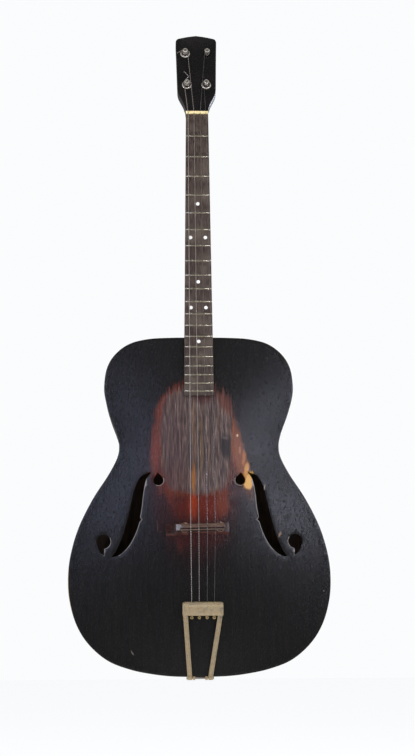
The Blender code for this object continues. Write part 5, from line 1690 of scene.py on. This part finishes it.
@dataclass
class Bridge:
    """The bridge: its footed base, the saddle, two posts and two knurled thumbwheels."""

    shop: Workshop
    base_span: tuple[float, float] = (-45.4, 39.6)
    plateau: tuple[float, float] = (-35.2, 32.4)
    base_top: float = 19.8
    wing_top: float = 16.0
    base_thickness: float = 12.4
    flare: float = 4.2
    foot_gap: tuple[float, float] = (-15.7, 10.3)
    foot_relief: float = 2.2
    foot_clearance: float = 0.12
    saddle_span: tuple[float, float] = (-31.9, 32.6)
    saddle_levels: tuple[float, float, float] = (24.0, 29.4, 32.0)
    saddle_thickness: float = 8.6
    slope_from: float = -27.0
    end_slope: float = 0.551
    wheel_x: tuple[float, float] = (-20.1, 27.0)
    wheel_radius: float = 6.7
    recess_radius: float = 5.4
    wheel_levels: tuple[float, float] = (21.2, 23.7)
    post_radius: float = 1.7
    post_levels: tuple[float, float] = (15.9, 28.2)
    thread_pitch: float = 0.8
    thread_depth: float = 0.3
    teeth: int = 40

    def base(self) -> Piece:
        """The base, cut to the arch below, sloped down to its wings and flared towards the tail."""
        left, right = self.base_span
        low, high = self.plateau

        def under(across: np.ndarray, lift: float = 0.0) -> list[Point]:
            """Points of the underside, clear of the arch by a lift."""
            return list(zip(across, arch(across, SADDLE_POINT.y) + self.foot_clearance + lift))

        gap_left, gap_right = self.foot_gap
        wing = self.wing_top
        bottom = (under(np.linspace(left, gap_left, 12))
                  + under(np.linspace(gap_left + 1.5, gap_right - 1.5, 8), self.foot_relief)
                  + under(np.linspace(gap_right, right, 12)))
        top = [(right, wing + 0.1), (right - 0.3, wing + 0.5),
               (high + 0.8, self.base_top - 0.2), (high + 0.2, self.base_top),
               (low + 4.2, self.base_top), (low + 3.4, self.base_top - 0.2),
               (low + 0.4, wing + 0.1), (left + 0.6, wing), (left, wing - 0.3)]
        half = self.base_thickness / 2
        base = prism("bridge_foot", bottom + top, -half, half, ALONG_Y)
        bevelled(base, 0.9, 3, 55)
        places = coordinates(base)
        down = np.clip((self.base_top - 1.5 - places[:, 2]) / 6.0, 0.0, 1.0)
        places[:, 1] -= self.flare * down * (places[:, 1] < -half / 2)
        put_vertices(base, places)
        # The rounded edges between the feet are marked redder: rubbed wear and a painted highlight
        rubbed(base, self.foot_gap)
        return combined(base, Joinery.CUT, *self.bores(15.6, 40.0))

    def bores(self, floor: float, ceiling: float) -> list[Piece]:
        """Cylinders for the holes that take the two posts."""
        radius = self.post_radius + 0.35
        return [turned("bore", [(0, ceiling), (radius, ceiling), (radius, floor), (0, floor)], 28,
                       moved(x, 0, 0)) for x in self.wheel_x]

    def saddle(self) -> Piece:
        """The saddle: a ridge over a groove, a sloped bass end and a notch for each string."""
        half = self.saddle_thickness / 2
        bottom, shoulder, top = self.saddle_levels
        outline = [(-half, bottom), (half, bottom), (half, shoulder), (2.4, top - 0.55), (1.1, top),
                   (-0.9, top), (-1.1, top - 1.9), (-2.5, top - 1.9), (-2.8, top - 1.3),
                   (-half, shoulder)]
        saddle = prism("saddle_bar", outline, *self.saddle_span, ALONG_X)
        with editing(saddle):
            bpy.ops.mesh.bisect(plane_co=(self.slope_from, 0, shoulder + 0.4),
                                plane_no=(-self.end_slope, 0, 1), clear_outer=True, use_fill=True)
        bevelled(saddle, 0.3, 2, 35)

        def dark(middle: np.ndarray, normal: np.ndarray) -> np.ndarray:
            """The sloped end's faces, and the groove's, whose darker stain is painted shade."""
            groove = ((middle[:, 1] < -0.95) & (middle[:, 1] > -2.75)
                      & (middle[:, 2] > top - 2.1) & (middle[:, 2] < top - 0.6))
            return groove | ((normal[:, 0] < -0.3) & (normal[:, 2] > 0.5))

        # The groove takes the darker stained maple as painted shade; the sloped end takes the same
        # maple
        lined(saddle, self.shop.maple, self.shop.stained_maple, dark)
        notches, centre = [], SADDLE_POINT.z
        for course in COURSES:
            across = course.saddle_x / math.cos(BRIDGE_SLANT)
            radius = course.diameter / 2 + 0.15
            notches.append(tube("notch", [(across, -half - 1, centre - 0.35),
                                          (across, 0, centre), (across, half + 1, centre - 0.1)],
                                radius, 14))
            notches.append(block("notch_mouth", (across - radius, -half - 1, centre),
                                 (across + radius, half + 1, centre + 4)))
        return combined(saddle, Joinery.CUT, *self.bores(bottom - 2, bottom + 5.8), *notches)

    def wheel(self, name: str) -> Piece:
        """A thumbwheel: a toothed disc with softened rims and a bore."""
        low, high = self.wheel_levels
        rim = []
        for step in range(self.teeth * 4):
            radius = self.wheel_radius - (0.45 if step % 4 in (2, 3) else 0.0)
            angle = 2 * math.pi * step / (self.teeth * 4)
            rim.append((radius * math.cos(angle), radius * math.sin(angle)))
        piece = prism(name, rim, low, high)
        bevelled(piece, 0.25, 1, 60)
        radius, floor = self.recess_radius, high - 0.3
        recess = turned("recess", [(0, high + 1), (radius, high + 1), (radius - 0.3, floor),
                                   (0, floor)], 40)
        bore = turned("bore", [(0, 30), (2.0, 30), (2.0, 15), (0, 15)], 28)
        combined(piece, Joinery.CUT, recess, bore)

        def sunk(middle: np.ndarray, normal: np.ndarray) -> np.ndarray:
            """The faces of the recess, darkened with dirt and painted shade."""
            away = np.hypot(middle[:, 0], middle[:, 1])
            return (away < radius - 0.1) & (middle[:, 2] > floor - 0.05)

        # The recess is darkened: dirt, and painted shade
        return lined(piece, self.shop.copper_nickel, self.shop.dirt_and_painted_shade, sunk)

    def post(self, name: str) -> Piece:
        """A threaded post: its profile goes out and in with each turn of the thread."""
        low, high = self.post_levels
        profile = [(0, high), (self.post_radius - 0.4, high)]
        level = high - 0.2
        root, pitch = self.post_radius - self.thread_depth, self.thread_pitch
        while level - pitch > low:
            profile += [(self.post_radius, level), (root, level - pitch / 2)]
            level -= pitch
        profile += [(self.post_radius, level), (root, low), (0, low)]
        return turned(name, profile, 24)

    def build(self) -> None:
        """Make the bridge's six pieces."""
        dressed(placed(self.base(), BRIDGE_FRAME), self.shop.stained_maple, "bridge",
                ["bridge_base"], 12)
        dressed(placed(self.saddle(), BRIDGE_FRAME), self.shop.maple, "saddle", ["saddle"],
                12)
        for side, across in zip(("bass", "treble"), self.wheel_x):
            place = BRIDGE_FRAME @ moved(across, 0, 0)
            dressed(placed(self.wheel("knurled_wheel_" + side), place), self.shop.copper_nickel,
                    "thumbwheel_" + side, ["thumbwheel_" + side], 30)
            dressed(placed(self.post("threaded_post_" + side), place), self.shop.steel, "bridge",
                    ["bridge_post_" + side], 60)


@dataclass
class Tailpiece:
    """The trapeze: a folded string plate, two channelled arms, and the strings' ball ends."""

    shop: Workshop
    centre_x: float = 3.6
    half_width: float = 26.8
    sheet_thickness: float = 0.9
    head_x: float = 23.2
    fold: tuple[Point, ...] = ((82.9, -2.8), (82.9, -0.6), (82.9, 1.3), (83.15, 2.2), (84.0, 2.6),
                               (87.0, 2.62), (91.0, 2.62), (94.4, 2.6), (95.4, 2.8), (96.2, 3.4),
                               (97.2, 3.65), (98.4, 3.35), (99.5, 2.4), (100.0, 0.9),
                               (100.0, -1.0), (100.0, -2.8))

    def plate(self) -> Piece:
        """The string plate: one sheet folded over a rolled lip, rimmed at its ends and slotted."""
        left, right = self.centre_x - self.half_width, self.centre_x + self.half_width
        stations = np.concatenate([[left, left + 0.8, left + 2.0],
                                   np.linspace(left + 4, right - 4, 24),
                                   [right - 2.0, right - 0.8, right]])
        sections = np.array([[(x, y, z) for y, z in self.fold] for x in stations])
        reach = np.clip(1.6 - np.minimum(stations - left, right - stations), 0.0, 1.6)
        high = np.clip((sections[:, :, 1] - 93.0) / 7.0, 0.0, 1.0)
        sections[:, :, 1] -= high * (reach ** 2)[:, None] * 0.9
        sections[:, :, 2] -= (reach ** 2)[:, None] * 0.25
        piece = loft("string_plate", sections, ring=False)
        modified(piece, "SOLIDIFY", thickness=self.sheet_thickness, offset=0.0)
        with editing(piece):
            face_outwards()
        bevelled(piece, 0.18, 2, 50)
        rims = [bevelled(block("rim", (edge, 83.3, 1.9), (edge + 2.1, 97.3, 3.85)), 0.5, 3)
                for edge in (left - 0.25, right - 1.85)]
        combined(piece, Joinery.JOIN, *rims)
        slots = []
        for course in COURSES:
            half = course.diameter / 2 + 0.35
            slots.append(block("slot", (course.tail_x - half, 80.0, -4.0),
                               (course.tail_x + half, 102.0, half)))
        return combined(piece, Joinery.CUT, *slots)

    def arm(self, name: str, side: int) -> Piece:
        """One channelled arm from its eye on the hinge pin up to the string plate."""
        half, lip = ARM_WIDTH / 2, 1.0
        section = [(-half, -1.0), (half, -1.0), (half, 1.15), (half - 0.25, 1.3), (half - lip, 1.3),
                   (half - lip - 0.3, 0.4), (lip + 0.3 - half, 0.4), (lip - half, 1.3),
                   (0.25 - half, 1.3), (-half, 1.15)]
        sections = []
        for share in np.linspace(0.0, 1.0, 14):
            start, end = side * ARM_FOOT, self.centre_x + side * self.head_x
            middle = start * (1 - share) + end * share
            bow = 0.35 * math.sin(math.pi * share)
            sections.append([(x + middle, 2.0 + PLATE_START * share, z + 1.6 * share + bow)
                             for x, z in section])
        arm = placed(bevelled(loft(name, np.array(sections)), 0.2, 2, 50), TAILPIECE_FRAME)
        inner, outer = KNUCKLE
        reach = half - 0.1
        eye = turned("eye", [(inner, reach), (outer - 0.25, reach), (outer, reach - 0.25),
                             (outer, 0.25 - reach), (outer - 0.25, -reach), (inner, -reach)], 40,
                     HINGE_FRAME @ moved(side * ARM_FOOT, 0, 0) @ QUARTER_Y)
        return combined(arm, Joinery.JOIN, eye)

    def build(self) -> None:
        """Make the tailpiece and the four ball ends."""
        dressed(placed(self.plate(), TAILPIECE_FRAME), self.shop.nickel, "tailpiece",
                ["tailpiece"], 40)
        for name, side in (("bass", -1), ("treble", 1)):
            dressed(self.arm("arm_" + name, side), self.shop.nickel, "tailpiece", ["tailpiece"],
                    40)
        half = 1.6
        profile = [(0.8, half), (1.9, half), (2.2, half - 0.3), (2.2, 0.9), (1.75, 0.3),
                   (1.75, -0.3), (2.2, -0.9), (2.2, 0.3 - half), (1.9, -half), (0.8, -half)]
        for course in COURSES:
            middle = PLATE_START - 0.45 - GAP - BALL_RADIUS
            place = TAILPIECE_FRAME @ moved(course.tail_x, middle, 0.0)
            dressed(turned("ball_" + course.name, profile, 32, place), self.shop.brass,
                    "tailpiece", ["ball_end_" + course.name], 40)


@dataclass
class TailBracket:
    """The bracket on the tail, with its eye, hinge pin and three countersunk screws."""

    shop: Workshop
    half_width: float = 16.0
    length: float = 42.0
    sheet_thickness: float = 1.4
    eyes: tuple[float, float] = (6.6, 9.9)
    screws: tuple[Point, ...] = ((-9.5, -12.0), (9.5, -12.0), (0.0, -36.0))
    strap_hole: tuple[float, float, float] = (0.0, -22.5, 4.0)

    def bracket(self) -> Piece:
        """The bracket: a plate with cut corners, a rolled eye, and its holes."""
        inner, outer = -GAP, -GAP - self.sheet_thickness
        half, length, corner = self.half_width, self.length, 4.0
        outline = [(-half + corner, -length), (half - corner, -length), (half - 1, -length + 1.2),
                   (half, -length + corner), (half, -6), (10, -GAP), (-10, -GAP), (-half, -6),
                   (-half, -length + corner), (1 - half, -length + 1.2)]
        piece = bevelled(prism("tail_plate", outline, outer, inner, ALONG_Y), 0.3, 2, 60)
        bore, radius = KNUCKLE
        near, far = self.eyes
        for side in (-1, 1):
            low, high = sorted((side * near, side * far))
            lug = block("lug", (low + 0.2, outer + 0.2, -1.0), (high - 0.2, inner - 0.1, 0.9))
            eye = turned("eye", [(bore, high), (radius - 0.2, high), (radius, high - 0.2),
                                 (radius, low + 0.2), (radius - 0.2, low), (bore, low)], 40,
                         moved(0, *HINGE_FOOT) @ QUARTER_Y)
            combined(piece, Joinery.JOIN, lug, eye)
        seat = [(0, 5), (1.95, 5), (1.95, inner), (3.65, outer), (3.65, -5), (0, -5)]
        cuts = [turned("seat", seat, 32, moved(x, 0, level) @ INTO_TAIL)
                for x, level in self.screws]
        x, level, radius = self.strap_hole
        cuts.append(turned("strap", [(0, 5), (radius, 5), (radius, -5), (0, -5)], 40,
                           moved(x, 0, level) @ INTO_TAIL))
        return combined(piece, Joinery.CUT, *cuts)

    def build(self) -> None:
        """Make the bracket, the pin and the screws."""
        dressed(placed(self.bracket(), BODY_FRAME), self.shop.nickel, "instrument",
                ["tail_bracket"], 40)
        reach = ARM_FOOT + ARM_WIDTH / 2 + GAP
        end = [(1.3, reach + 0.9), (1.8, reach + 0.5), (1.9, reach), (1.2, reach)]
        pin = turned("pin_of_hinge", [
            (0, reach + 1), *end, *((radius, -level) for radius, level in end[::-1]),
            (0, -reach - 1)], 28, HINGE_FRAME @ QUARTER_Y)
        dressed(pin, self.shop.steel, "instrument", ["hinge_pin"], 40)
        head = -GAP - self.sheet_thickness + 0.1
        profile = [(0, 10), (1.4, 9), (1.4, head + 1.5), (3.1, head + 0.15), (3.0, head), (0, head)]
        for number, (across, level) in enumerate(self.screws, start=1):
            screw = turned(f"wood_screw_{number}", profile, 32)
            combined(screw, Joinery.CUT, block("slot", (-4, -0.4, head - 1), (4, 0.4, head + 0.7)))
            turn = Matrix.Rotation(math.radians(25 * number), 4, "Z")
            dressed(placed(screw, BODY_FRAME @ moved(across, 0, level) @ INTO_TAIL @ turn),
                    self.shop.steel, "instrument", [f"bracket_screw_{number}"], 40)


@dataclass
class InnerWork:
    """What holds the box together inside: its CAD nodes, given their woods and metal."""

    shop: Workshop
    woods: tuple[str, ...] = (
        "top_lining_bass", "top_lining_treble", "back_lining_bass", "back_lining_treble",
        "neck_block", "tail_block", "tone_bar_bass", "tone_bar_treble")
    metals: tuple[str, ...] = ("neck_reinforcement",)

    def build(self) -> None:
        """Put bare spruce on the wood and plain steel on the bar in the neck."""
        for names, finish in ((self.woods, self.shop.spruce), (self.metals, self.shop.steel)):
            for name in names:
                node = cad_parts[name]
                for slot in node.material_slots:
                    slot.material = finish
                LOG.info("%s keeps its solid and is finished as %s", name, finish.name)


def main() -> None:
    """Build the camera, the room and every assembly, and note how large the result is."""
    logging.basicConfig(level=logging.INFO, format="%(message)s")
    Viewpoint().build()
    Studio().build()
    shop = make_finishes()
    for assembly in (SoundBox(shop), Neck(shop), Fingerboard(shop), Pegs(shop), Strings(shop),
                     Bridge(shop), Tailpiece(shop), TailBracket(shop), InnerWork(shop)):
        assembly.build()
        LOG.info("%s finished", type(assembly).__name__)


if __name__ == "__main__":
    main()
